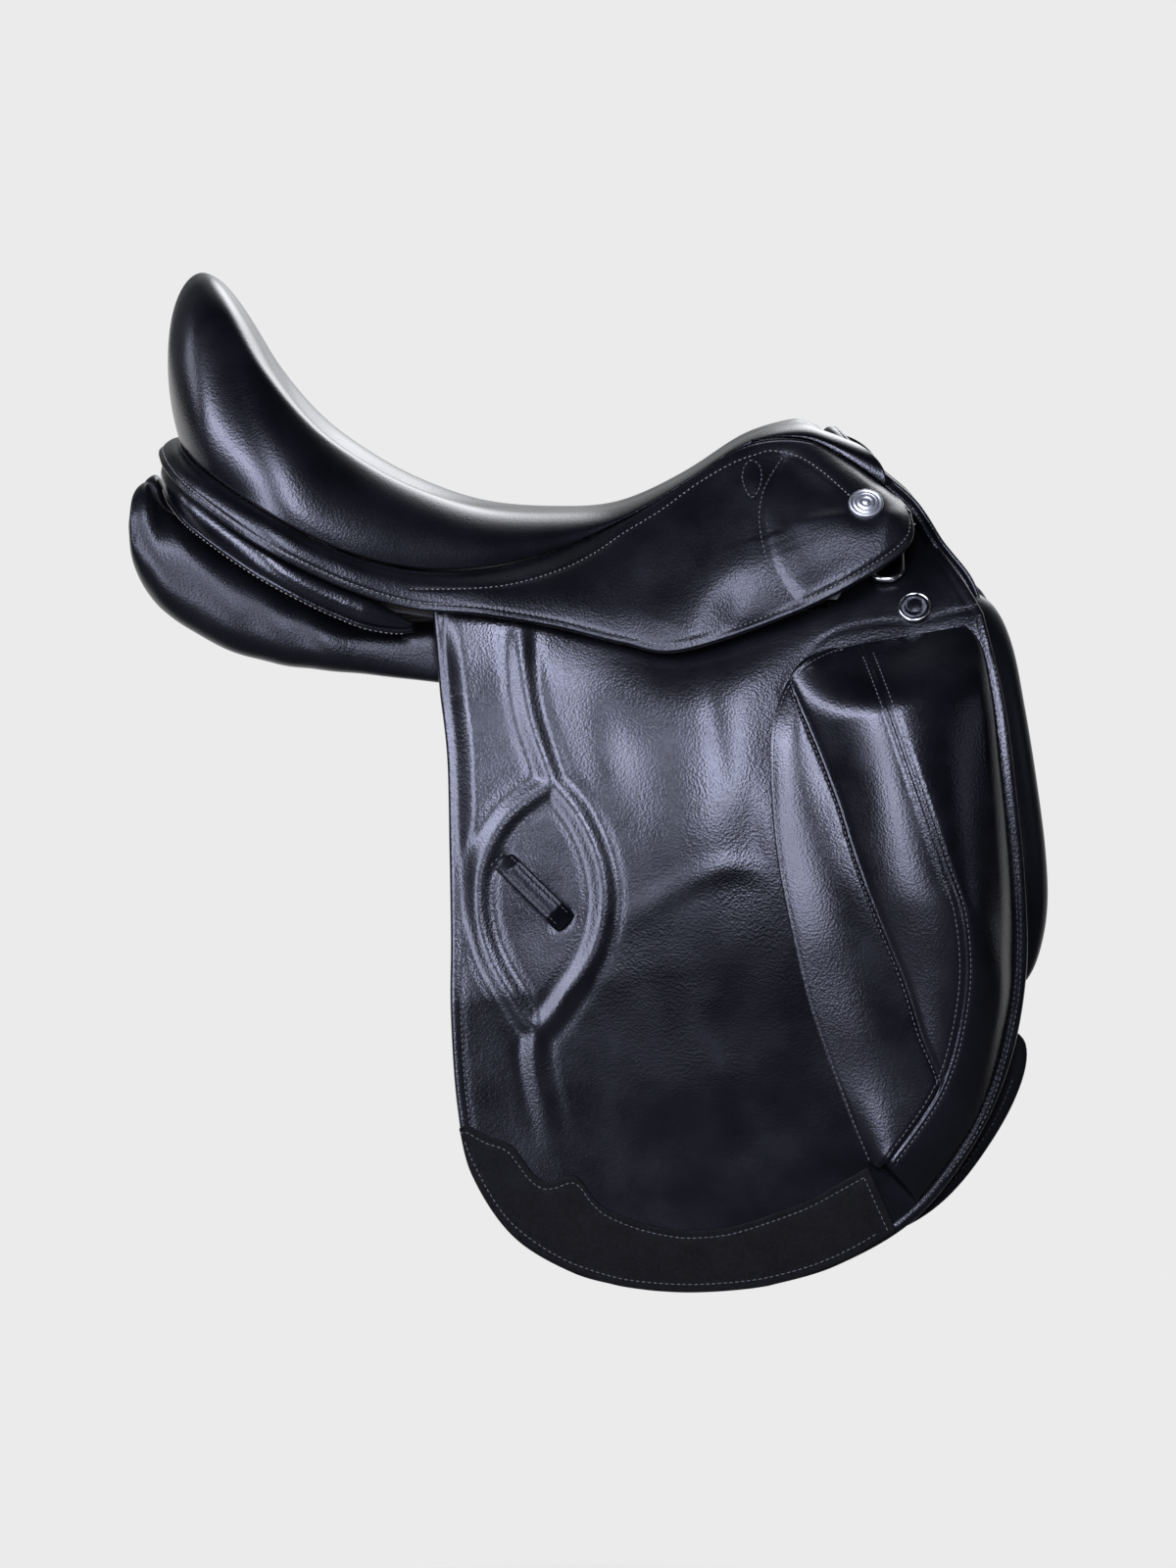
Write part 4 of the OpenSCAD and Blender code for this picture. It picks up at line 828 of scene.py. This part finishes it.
def makeGuards():
    grid = np.swapaxes(betweenLines(guardUpper, guardLower, guardCut["cols"], guardCut["rows"]), 0, 1)
    x, z = grid[..., 0], grid[..., 1]
    base = wallAt(x, z) + flapOut + ease(np.abs(fromLine(flapEdge, x, z)[0]) / 16) * 0.4
    rows = np.linspace(0, 1, guardCut["rows"])[:, None]
    groove = 0.7 * bell(rows * 40 - guardCut["hem"], 1.5)
    lift = slack + guardCut["thick"] + 0.25 * ripples(x, z, 24, 8) - groove
    outer = np.stack([x, base + lift, z], -1)
    inner = np.stack([x, base + 0.1, z], -1)
    pair = addPair("flapGuard", *rolledSheet(outer, inner, 5), blackSuede)
    settlePair(pair, "flap_{}", "suede", "flap_guard_{}")
    addStitchPair("flap_{}", "dark", insetLine(np.swapaxes(outer, 0, 1), guardCut["hem"])[3:-4])
    addStitchPair("flap_{}", "dark", insetLine(np.swapaxes(outer[::-1], 0, 1), 4.2)[10:-6])
    addStitchPair("flap_{}", "dark", insetLine(outer[:, ::-1], 4.0)[3:-2])


makeGuards()
print("guards ready")

# thigh block: a soft crescent, a steep face behind the ridge, and the pad in front
blockCut = {"rows": 184, "wingCols": 72, "padCols": 48, "height": 34.0, "edge": 9.0, "puff": 2.6,
            "foot": 1.5, "rim": 0.3, "turn": 9.0, "brow": 44.0, "seamDepth": 1.5, "ridgeRow": 3.4}
ridgeLineBlock = [[172, 25], [177, 13], [184, -6], [194, -34], [207, -71], [219, -106], [231, -142],
                  [233, -190], [219, -248], [184, -300]]
padFront = [[236, 36], [246, 23], [253, -10], [257, -46], [261, -84], [264, -122], [265, -162], [262, -204],
            [243, -268], [205, -322]]
browLine = [[155, 22], [172, 25], [236, 36]]
crescentSeam = [[126.3, 4.3], [130.5, -7.9], [142.7, -36.6], [150.7, -56.7], [157.4, -75], [164.7, -98.8],
                [174.5, -126.9], [186.7, -157.4], [197, -183], [207.4, -215.9], [219, -247], [208, -265],
                [184, -300]]
seamHeights = ((0, 0.1, 0.3, 0.5, 0.7, 0.84, 0.92, 1), (1.6, 3.8, 8.0, 11.2, 14.4, 16.0, 14.6, 11.2))


def straightDown(skin, path):  # a seen line, dropped on the leather from the side
    aim = Vector((0, -1, 0))
    hits = [skin.ray_cast(Vector((x, 400, z)), aim)[0] for x, z in path]
    return np.array([list(hit + Vector((0, 0.1, 0))) for hit in hits if hit is not None])


def shifted(path, d):
    return path + d * unit(np.stack([-np.gradient(path[:, 1]), np.gradient(path[:, 0])], 1))


def makeBlocks():
    rows, low = blockCut["rows"], blockCut["foot"]
    t = np.linspace(0, 1, rows)
    swell = mix(1, 0.3, ease((t - 0.62) / 0.38))[:, None]
    wing = betweenLines(wingRear, ridgeLineBlock, rows, blockCut["wingCols"])
    pad = betweenLines(ridgeLineBlock, padFront, rows, blockCut["padCols"] + 1)[:, 1:]
    side = np.concatenate([wing, pad], axis=1)
    x, z = side[..., 0], side[..., 1]
    rear, ridge, seam = (evenPath(line, 2.5) for line in (wingRear, ridgeLineBlock, crescentSeam))
    dRear = np.abs(fromLine(rear, x, z)[0])
    dRidge = fromLine(ridge, x, z)[0]
    dSeam = fromLine(seam, x, z)[0]
    top = low + (blockCut["height"] - low) * swell
    seamTop = np.interp(t, *seamHeights)[:, None]
    gap = np.abs(dSeam)
    s = dRear / np.maximum(dRear + gap, 1e-6)
    crescent = mix(0.4, seamTop, s ** 1.1) + blockCut["puff"] * np.sin(np.pi * s) * ease((dRear + gap) / 30)
    for _ in range(16):  # eases the turn of the seam at the foot
        crescent[1:-1] = (crescent[:-2] + 2 * crescent[1:-1] + crescent[2:]) / 4
    s = gap / np.maximum(gap + np.abs(dRidge), 1e-6)
    steep = seamTop + (top - seamTop) * (1 - (1 - s) ** 1.7)
    v = np.linspace(0, 1, blockCut["padCols"] + 1)[None, 1:]
    face = low + (mix(blockCut["height"], blockCut["edge"], v ** 1.7) - low) * swell
    face = face + 1.6 * np.sin(np.pi * v) * swell
    height = np.concatenate([np.where(dSeam < 0, crescent, steep)[:, :blockCut["wingCols"]], face], axis=1)
    front = np.concatenate([evenPath(padFront, 3), ridgeLineBlock[-1:]])
    fromFront = np.minimum(np.abs(fromLine(front, x, z)[0]) / blockCut["turn"], 1)
    fromBrow = np.minimum(np.abs(fromLine(evenPath(browLine, 3), x, z)[0]) / blockCut["brow"], 1)
    over = np.sqrt(np.clip(1 - (1 - fromFront) ** 2, 0, 1)) * np.sin(np.pi / 2 * fromBrow)
    height = blockCut["rim"] + (height - blockCut["rim"]) * over
    inWing = np.arange(height.shape[1])[None, :] < blockCut["wingCols"]
    height -= np.where(inWing, blockCut["seamDepth"] * bell(dSeam, 1.8) * ease(dRear / 8), 0)
    height -= 0.35 * bell(dRear - 1.8, 1.1)
    height -= 0.6 * bell(dRidge, 1.3) + 0.35 * bell(np.abs(dRidge) - blockCut["ridgeRow"], 1.1)
    height += 0.4 * ripples(x, z, 60, 21) * over * ease(dRear / 12)
    wallBase = easedWall(x, z) + flapOut + flapFull(x, z)
    outer = np.stack([x, wallBase + slack + np.maximum(height, 0.1), z], -1)
    inner = np.stack([x, wallBase + 0.1, z], -1)
    pair = addPair("thighBlock", *rolledSheet(outer, inner, 3, 0.3), smoothLeather)
    settlePair(pair, "flap_{}", "black_leather", "block_wing_{}", "block_pad_{}")
    skin = skinOf(pair["left"])
    addStitchPair("flap_{}", "dark", straightDown(skin, shifted(rear, 1.8)[2:-1]))
    addStitchPair("flap_{}", "dark", straightDown(skin, shifted(seam, -2.2)[3:-26]))
    for d in (-blockCut["ridgeRow"], blockCut["ridgeRow"]):
        addStitchPair("flap_{}", "dark", straightDown(skin, shifted(ridge, d)[3:-4]))
    edge = evenPath(padFront, 2.5)
    addStitchPair("flap_{}", "dark", onFlap(shifted(edge, 4.5)[12:-10], 0.1))


makeBlocks()
print("blocks ready")


# keeper for the end of the stirrup leather, sewn down at both ends
def flapAxes(spot, turn):
    x, z = spot[0] + np.array([-2, 2, 0, 0]), spot[1] + np.array([0, 0, -2, 2])
    rear, front, foot, top = wallAt(x, z)
    normal = unit(np.array([rear - front, 4, foot - top]))
    aim = np.array([math.cos(math.radians(turn)), 0, math.sin(math.radians(turn))])
    along = unit(aim - normal * (aim @ normal))
    return along, np.cross(normal, along), normal


def makeKeepers():
    c = keeperCut
    along, across, normal = flapAxes(c["spot"], c["turn"])
    base = onWall(np.array(c["spot"]), flapOut)
    a = np.linspace(-c["length"] / 2, c["length"] / 2, 70)
    rise = (c["gap"] + 0.6) * ease((c["length"] / 2 + 1 - np.abs(a)) / 11) - 1.2
    b = np.linspace(-c["width"] / 2 + 1.2, c["width"] / 2 - 1.2, 12)
    crown = 1.5 * (1 - (b / (c["width"] / 2)) ** 2) - 0.35 * bell(np.abs(b) - c["width"] / 2 + 2.6, 0.8)
    spot = base + a[:, None, None] * along + b[None, :, None] * across
    outer = spot + (rise[:, None] + c["thick"] + crown[None])[..., None] * normal
    inner = spot + rise[:, None, None] * normal
    pair = addPair("keeper", *rolledSheet(outer, inner, 6), keeperLeather)
    settlePair(pair, "flap_{}", "black_leather", "keeper_{}")
    for j in (1, -2):
        addStitchPair("flap_{}", "dark", outer[5:-5, j] + 0.1 * normal)
    bar = np.linspace(-c["width"] / 2 + 1, c["width"] / 2 - 1, 8)
    for end in (-1, 1):
        row = base + end * (c["length"] / 2 + 3.0) * along + bar[:, None] * across
        addStitchPair("flap_{}", "dark", onFlap(row[:, [0, 2]], 0.1))


makeKeepers()
print("keepers ready")

# under the flap: sweat flap, knee roll, strap guide
sweatCut = {"rows": 130, "cols": 96, "thick": 3.5, "hem": 5.0}
sweatRear = [foldPoint(-73, -12), [-71, -60], [-72, -115], [-72, -160], [-71, -190], [-67, -235],
             [-57, -290], [-33, -330], [7, -354], [40, -361]]
sweatFront = [[211, 32], [224, -14], [231, -58], [236, -104], [237, -146], [228, -200], [272, -225],
              [252, -283], [202, -335], [110, -361]]
kneeCut = {"halfX": 24.0, "thick": 26.0, "rows": 120, "sides": 48}
rollFront = [[242, 60], [256, 46], [266, 22], [273, -14], [280, -58], [286, -106], [287, -146], [281, -192]]
guideCut = {"x": (-18, 84), "z": (-70, -118), "outer": 13.2, "inner": 11.2}


def makeSweatFlaps():
    side = betweenLines(sweatRear, sweatFront, sweatCut["rows"], sweatCut["cols"])
    outer = onWall(side, sweatCut["thick"])
    outer[..., 1] += 0.3 * ripples(side[..., 0], side[..., 1], 60, 31)
    pair = addPair("sweatFlap", *rolledSheet(outer, onWall(side, 0.0), 6), panelLeather)
    settlePair(pair, "saddle", "lining_leather", "sweat_flap_{}")
    addStitchPair("saddle", "dark", insetLine(outer[:, :12], sweatCut["hem"])[6:-8])
    addStitchPair("saddle", "dark", insetLine(outer[:, :-12:-1], sweatCut["hem"])[92:-8])


def makeKneeRolls():
    t = np.linspace(0, 1, kneeCut["rows"])
    full = np.sqrt(np.maximum(0.012, 1 - np.abs(2 * t - 1) ** 9))
    centre = splineAt(rollFront, t) - [kneeCut["halfX"], 0]
    centre = onWall(centre, flapIn - slack - 0.4 - kneeCut["thick"] / 2)
    w = 2 * np.pi * np.arange(kneeCut["sides"]) / kneeCut["sides"]
    wide = np.sign(np.cos(w)) * np.abs(np.cos(w)) ** 0.9
    ring = np.stack([kneeCut["halfX"] * wide, kneeCut["thick"] / 2 * np.sin(w), 0 * w], 1)
    rings = centre[:, None] + full[:, None, None] * ring[None]
    rings[..., 1] += 0.35 * ripples(rings[..., 0], rings[..., 2], 30, 41)
    rolls = addPair("kneeRoll", *loftMesh(rings), panelLeather)
    settlePair(rolls, "saddle", "black_leather", "knee_roll_{}")


def makeStrapGuides():
    guide = np.stack(np.meshgrid(np.linspace(*guideCut["x"], 40), np.linspace(*guideCut["z"], 22)), -1)
    outer, inner = onWall(guide, guideCut["outer"]), onWall(guide, guideCut["inner"])
    pair = addPair("strapGuide", *rolledSheet(outer, inner, 4), strapLeather)
    settlePair(pair, "saddle", "strap_leather", "strap_guide_{}")
    row = onWall(guide, guideCut["outer"] + 0.05)
    for line in (row[2], row[-3], row[:, 2], row[:, 19], row[:, -3]):
        addStitchPair("saddle", "dark", line)


makeSweatFlaps()
makeKneeRolls()
makeStrapGuides()
print("under-flap pieces ready")

# panels: stuffed cushions either side of the channel, swept up at the back
panelCut = {"rows": 190, "sides": 64, "gullet": 36.0, "stuffing": 8.0, "stuffedFrom": -104, "creases": 0.42}
panelX = [-288.5, -287, -283, -276.5, -267, -251, -226, -196, -162, -124, -84, -42, 0, 42, 84, 124, 158,
          184, 198, 206]
panelTop = [102, 114, 121, 122, 107, 99, 81, 64, 45, 37, 38, 40, 46, 47, 42, 42, 41, 36, 22, 8]
panelFoot = [93, 77, 64, 52.5, 42, 30, 16.5, 7.5, 3, -1, -6.5, -11, -17, -24, -31, -37, -42, -42, -34, -14]
panelLean = ((-288, -226, -124, -42, 84, 158, 198, 206), (0, 6, 12, 22, 38, 46, 36, 14))
panelSide = ((-288.5, -287, -283, -276.5, -267, -251, -226, -196, -162, -124, -84, -42, 0, 206),
             (86, 98, 106, 111, 116, 122, 128, 131, 128, 118, 106, 112, 125, 130))
liningCut = {"rows": 110, "cols": 28, "thick": 1.6}
liningLine = [[152, 40, 58], [128, 40, 50], [100, 40, 28], [60, 40, 14], [20, 36, 8], [-30, 31, 6],
              [-80, 28, 6], [-130, 30, 6], [-180, 46, 6], [-220, 70, 6], [-246, 92, 6]]


def makePanels():
    rows, sides = panelCut["rows"], panelCut["sides"]
    w = -2 * np.pi * (np.arange(sides) + 0.5) / sides
    h = np.sign(np.cos(w)) * np.abs(np.cos(w)) ** 0.5
    v = np.sign(np.sin(w)) * np.abs(np.sin(w)) ** 0.5
    rings = []
    for x, zt, zb in zip(panelX, panelTop, panelFoot):
        y = np.interp(x, *panelSide)
        inner = panelCut["gullet"] + max(0, x - 190) * 0.9 + max(0, -280 - x) * 2
        stuffing = panelCut["stuffing"] * ease((panelCut["stuffedFrom"] - x) / 50)
        upper = min(y - 5, float(wallAt(np.array(x), np.array(zt))) - 1)
        lower = min(y, float(wallAt(np.array(x), np.array(zb))) - 1)
        outerY = mix(lower, upper, (v + 1) / 2) + stuffing * (1 - v ** 2)
        foot = zb + np.interp(x, *panelLean) * (1 - h) / 2
        rings.append(np.stack([x + 0 * w, mix(inner, outerY, (h + 1) / 2), mix(foot, zt, (v + 1) / 2)], 1))
    flatRings = np.reshape(rings, (len(rings), -1))
    dense = splineAt(flatRings, np.linspace(0, 1, rows)).reshape(rows, sides, 3)
    normals = unit(np.cross(np.gradient(dense, axis=0), np.roll(dense, -1, 1) - np.roll(dense, 1, 1)))
    middle = dense.mean(1, keepdims=True)
    normals *= np.sign(np.sum(normals * (dense - middle)))
    x, y, z = dense[..., 0], dense[..., 1], dense[..., 2]
    waves = np.sin((x * 0.9 + z * 0.35) / 5.6 + 1.7 * np.sin(x / 31))
    creases = panelCut["creases"] * waves * bell(x + 178, 62) * ease((y - 60) / 50)
    dense = dense + normals * (creases + 0.5 * ripples(x, y + z, 55, 17))[..., None]
    pair = addPair("panel", *loftMesh(dense), panelLeather)
    settlePair(pair, "saddle", "lining_leather", "panel_{}")


def makeLining():
    run = splineAt(liningLine, np.linspace(0, 1, liningCut["rows"]))
    j = np.linspace(-1, 1, liningCut["cols"])[None]
    arch = run[:, 1:2] + run[:, 2:3] * (1 - j ** 2)
    along, across = run[:, :1] + 0 * arch, j * (panelCut["gullet"] - slack) + 0 * arch
    low = np.stack([along, across, arch], -1)
    high = low + np.array([0, 0, liningCut["thick"]])
    lining = addPiece("gulletLining", *rolledSheet(high, low, 4), panelLeather)
    settle(lining, "saddle", "lining_leather", "gullet_lining")


makePanels()
makeLining()
print("panels ready")

# turned fittings, each a profile of radius and height
studCut = {"u": 0.095, "v": 0.56}
studProfile = [[0.01, -1], [11, -1], [11.1, 0.9], [10.7, 1.9], [10, 2.5], [9.2, 2.4], [8.8, 1.9], [8.3, 1.8],
               [7.9, 2.2], [7.4, 2.8], [6.8, 2.9], [6.4, 2.5], [5.8, 2.5], [5.3, 3], [4.4, 3.4], [3.4, 3.45],
               [3, 3], [2.4, 3], [2, 3.5], [1.2, 3.9], [0.01, 4]]
buttonCut = {"spot": (204.5, 47.0), "notch": 0.5, "notchAt": 6.6, "sides": 144}
buttonRim = [[8.8, -0.4], [10.2, -0.4], [10.4, 0.4], [10.2, 1.1], [9.8, 1.6], [9.3, 1.6], [8.9, 1.1]]
buttonCap = [[0.01, -0.4], [9.1, -0.4], [9.3, 1.0], [8.8, 2.2], [7.6, 2.9], [6.2, 2.9], [5.4, 2.4],
             [4.4, 2.5], [2.4, 2.9], [0.01, 3.0]]


def makeStuds():
    u, v, d = np.array(studCut["u"]), np.array(studCut["v"]), 0.01
    along = skirtPoint(u - d, v) - skirtPoint(u + d, v)
    down = skirtPoint(u, v + 2 * d) - skirtPoint(u, v - 2 * d)
    normal = unit(np.cross(along, down))
    normal = normal if normal[1] > 0 else -normal
    spot = skirtPoint(u, v) + normal * skirtCut["thick"]
    pair = addPair("pommelStud", *turnedMesh(studProfile, spot, normal), brushedNickel)
    settlePair(pair, "saddle", "nickel", "pommel_stud_{}")


def makeButtons():
    c = buttonCut
    normal = flapAxes(c["spot"], 0)[2]
    spot = onWall(np.array(c["spot"]), flapOut + slack)
    pair = addPair("buttonRim", *turnedMesh(buttonRim, spot, normal), polishedNickel)
    settlePair(pair, "saddle", "nickel")
    cap = turnedMesh(buttonCap, spot, normal, c["sides"], c["notch"], c["notchAt"])
    settlePair(addPair("flapButton", *cap, smoothLeather), "saddle", "button", "flap_button_{}")


makeStuds()
makeButtons()

# CAD pieces that keep their shape
keptFinishes = {"dee_ring": polishedNickel, "dee_chape": strapLeather, "stirrup_bar": forgedSteel,
                "bar_catch": forgedSteel, "bar_rivets": forgedSteel, "head_plate": springSteel,
                "spring": springSteel, "tree_frame": treeWood, "seat_webs": webbing,
                "girth_strap": strapLeather}
for name, node in nodes.items():
    for start, finish in keptFinishes.items():
        if name.startswith(start):
            node.data.materials.clear()
            node.data.materials.append(finish)
print("fittings ready")

# stitches: one small tree lays them along the rows of each body
stitchCut = {"dark": {"pitch": 3.6, "length": 2.9, "thick": 0.75},
             "grey": {"pitch": 3.4, "length": 2.2, "thick": 0.7}}


def stitchTree(thread):
    tree = bpy.data.node_groups.new("stitchRow", "GeometryNodeTree")
    face = tree.interface
    face.new_socket("Geometry", in_out="INPUT", socket_type="NodeSocketGeometry")
    for name in ("Pitch", "Length", "Thick"):
        face.new_socket(name, in_out="INPUT", socket_type="NodeSocketFloat")
    face.new_socket("Geometry", in_out="OUTPUT", socket_type="NodeSocketGeometry")
    rows = tree.nodes.new("NodeGroupInput").outputs
    curve = addNode(tree, "GeometryNodeMeshToCurve", {"Mesh": rows["Geometry"]})
    points = addNode(tree, "GeometryNodeCurveToPoints",
                     {"Curve": curve.outputs["Curve"], "Length": rows["Pitch"]}, mode="LENGTH")
    grain = addNode(tree, "GeometryNodeMeshUVSphere", {"Segments": 6, "Rings": 4, "Radius": 0.5})
    size = addNode(tree, "ShaderNodeCombineXYZ",
                   {"X": rows["Length"], "Y": rows["Thick"], "Z": rows["Thick"]})
    turn = addNode(tree, "FunctionNodeAlignRotationToVector", {"Vector": points.outputs["Tangent"]}, axis="X")
    place = addNode(tree, "GeometryNodeInstanceOnPoints",
                    {"Points": points.outputs["Points"], "Instance": grain.outputs["Mesh"],
                     "Rotation": turn.outputs["Rotation"], "Scale": size.outputs["Vector"]})
    whole = addNode(tree, "GeometryNodeRealizeInstances", {"Geometry": place.outputs["Instances"]})
    smooth = addNode(tree, "GeometryNodeSetShadeSmooth", {"Geometry": whole.outputs["Geometry"]})
    paint = addNode(tree, "GeometryNodeSetMaterial",
                    {"Geometry": smooth.outputs["Geometry"], "Material": thread})
    addNode(tree, "NodeGroupOutput", {"Geometry": paint.outputs["Geometry"]})
    return tree


def makeStitches():
    threads = {"dark": darkThread, "grey": greyThread}
    trees = {name: stitchTree(thread) for name, thread in threads.items()}
    for (body, thread), rows in stitchRows.items():
        verts, edges, count = [], [], 0
        for row in rows:
            verts.append(np.asarray(row) * mm)
            edges += [[count + k, count + k + 1] for k in range(len(row) - 1)]
            count += len(row)
        name = "stitches_" + thread + "_" + body
        mesh = bpy.data.meshes.new(name)
        mesh.from_pydata(np.concatenate(verts).tolist(), edges, [])
        piece = bpy.data.objects.new(name, mesh)
        scene.collection.objects.link(piece)
        sewing = piece.modifiers.new("sewing", "NODES")
        sewing.node_group = trees[thread]
        for item in trees[thread].interface.items_tree:
            if item.in_out == "INPUT" and item.name.lower() in stitchCut[thread]:
                sewing[item.identifier] = stitchCut[thread][item.name.lower()] * mm
        applyModifiers(piece)
        print(name, len(piece.data.polygons), "faces")
        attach(piece, body)


makeStitches()

# floor and soft light, in metres
stageCut = {"floorZ": -0.62, "floorSize": 400, "floor": (0.68, 0.665, 0.57), "bounce": 0.1, "pale": 0.83,
            "front": 0.004, "clear": (0.1, 0.31), "floorBehind": (0.2, 0.8), "roomBehind": (0.2, 0.65),
            "roomAhead": (-0.35, 0.2), "room": (0.97, 0.98, 1.0)}


def grey(value):
    return (value, value, value, 1)


def mixShaders(tree, share, first, second):
    return addNode(tree, "ShaderNodeMixShader", {0: share, 1: first, 2: second}).outputs["Shader"]


def makeFloor():  # the camera sees a pale floor with the shadow, the leather sees a dim studio in front
    bpy.ops.mesh.primitive_plane_add(size=stageCut["floorSize"], location=(0, 0, stageCut["floorZ"]))
    floor = bpy.context.object
    floor.name = "floor"
    finish, tree, shader, coords = newFinish("paleFloor")
    feed(tree, shader, {"Base Color": (*stageCut["floor"], 1), "Roughness": 0.9, "Specular IOR Level": 0.1})
    path = tree.nodes.new("ShaderNodeLightPath").outputs
    away = addNode(tree, "ShaderNodeVectorMath", {0: coords}, operation="LENGTH").outputs["Value"]
    y = addNode(tree, "ShaderNodeSeparateXYZ", {"Vector": coords}).outputs["Y"]
    shown = addNode(tree, "ShaderNodeEmission", {"Color": grey(stageCut["pale"])}).outputs["Emission"]
    ground = addNode(tree, "ShaderNodeBsdfDiffuse", {"Color": grey(stageCut["bounce"])}).outputs["BSDF"]
    mirrored = mathNode(tree, "MAXIMUM", path["Is Glossy Ray"], path["Is Transmission Ray"])
    share = mathNode(tree, "MULTIPLY", mirrored, rangeNode(tree, y, 0, 1, *stageCut["floorBehind"]))
    clear = rangeNode(tree, away, 0, 1, *stageCut["clear"])
    near = mixShaders(tree, clear, shader.outputs["BSDF"], shown)
    seen = mixShaders(tree, path["Is Camera Ray"], mixShaders(tree, share, ground, shown), near)
    feed(tree, tree.nodes["Material Output"], {"Surface": seen})
    floor.data.materials.append(finish)


def makeRoom():  # pale behind the saddle, dim on the side of the camera
    world = bpy.data.worlds.new("studio")
    scene.world = world
    world.use_nodes = True
    tree = world.node_tree
    tree.nodes.clear()
    coords = tree.nodes.new("ShaderNodeTexCoord").outputs["Generated"]
    path = tree.nodes.new("ShaderNodeLightPath").outputs
    split = addNode(tree, "ShaderNodeSeparateXYZ", {"Vector": coords}).outputs
    behind = rangeNode(tree, split["Y"], 0, 1, *stageCut["roomBehind"])
    ahead = rangeNode(tree, split["X"], 0.1, 1, *stageCut["roomAhead"])
    both = mathNode(tree, "MULTIPLY", behind, ahead)
    glow = rangeNode(tree, both, stageCut["front"], stageCut["pale"], 0, 1)
    room = addNode(tree, "ShaderNodeBackground", {"Color": (*stageCut["room"], 1), "Strength": glow})
    shown = addNode(tree, "ShaderNodeBackground", {"Color": grey(stageCut["pale"])})
    seen = mixShaders(tree, path["Is Camera Ray"], room.outputs["Background"], shown.outputs["Background"])
    addNode(tree, "ShaderNodeOutputWorld", {"Surface": seen})


def softenEdges(lamp, edges):  # the cloth of a softbox is dimmer towards its rim
    lamp.use_nodes = True
    tree = lamp.node_tree
    glow = next(node for node in tree.nodes if node.type == "EMISSION")
    spot = tree.nodes.new("ShaderNodeNewGeometry").outputs["Parametric"]
    split = addNode(tree, "ShaderNodeSeparateXYZ", {"Vector": spot}).outputs
    shares = []
    for axis, edge in zip("XY", edges):
        off = mathNode(tree, "SUBTRACT", split[axis], 0.5)
        shares.append(rangeNode(tree, mathNode(tree, "ABSOLUTE", off), 1, 0, 0.5 - edge, 0.5))
    feed(tree, glow, {"Strength": mathNode(tree, "MULTIPLY", *shares)})


def addSoftbox(name, spot, aim, size, watts, colour=(0.83, 0.85, 1.0), edge=(0.3, 0.3)):
    lamp = bpy.data.lights.new(name, "AREA")
    lamp.shape = "RECTANGLE"
    lamp.size, lamp.size_y = size
    lamp.energy = watts
    lamp.color = colour
    softenEdges(lamp, edge)
    box = bpy.data.objects.new(name, lamp)
    scene.collection.objects.link(box)
    box.location = spot
    box.rotation_euler = (Vector(aim) - Vector(spot)).to_track_quat("-Z", "Y").to_euler()


softboxes = {
    "keyBox": {"spot": (0.12, -1.9, 0.92), "aim": (0.08, -0.12, -0.04), "size": (0.52, 1.7), "watts": 66,
               "edge": (0.3, 0.16)},
    "stripBox": {"spot": (-0.9, -1.71, 0.36), "aim": (0.1, -0.15, -0.08), "size": (0.8, 2.2), "watts": 74,
                 "edge": (0.28, 0.2)},
    "frontBox": {"spot": (1.95, -1.0, 0.6), "aim": (0.25, -0.1, -0.05), "size": (0.6, 1.0), "watts": 1.8},
    "rearBox": {"spot": (-1.63, -1.13, 1.04), "aim": (-0.22, -0.1, 0.15), "size": (2.2, 0.6), "watts": 80,
                "edge": (0.2, 0.3)},
    "sideBox": {"spot": (-1.75, 0.4, 0.8), "aim": (-0.25, -0.05, 0.2), "size": (0.5, 0.5), "watts": 5},
    "backBox": {"spot": (0.6, 1.85, 1.35), "aim": (-0.1, 0, 0.12), "size": (1.7, 2.2), "watts": 54,
                "colour": (0.97, 0.98, 1.0), "edge": (0.3, 0.45)},
}
makeFloor()
makeRoom()
for name, cut in softboxes.items():
    addSoftbox(name, **cut)
scene.view_settings.view_transform = "Standard"
print("stage ready")
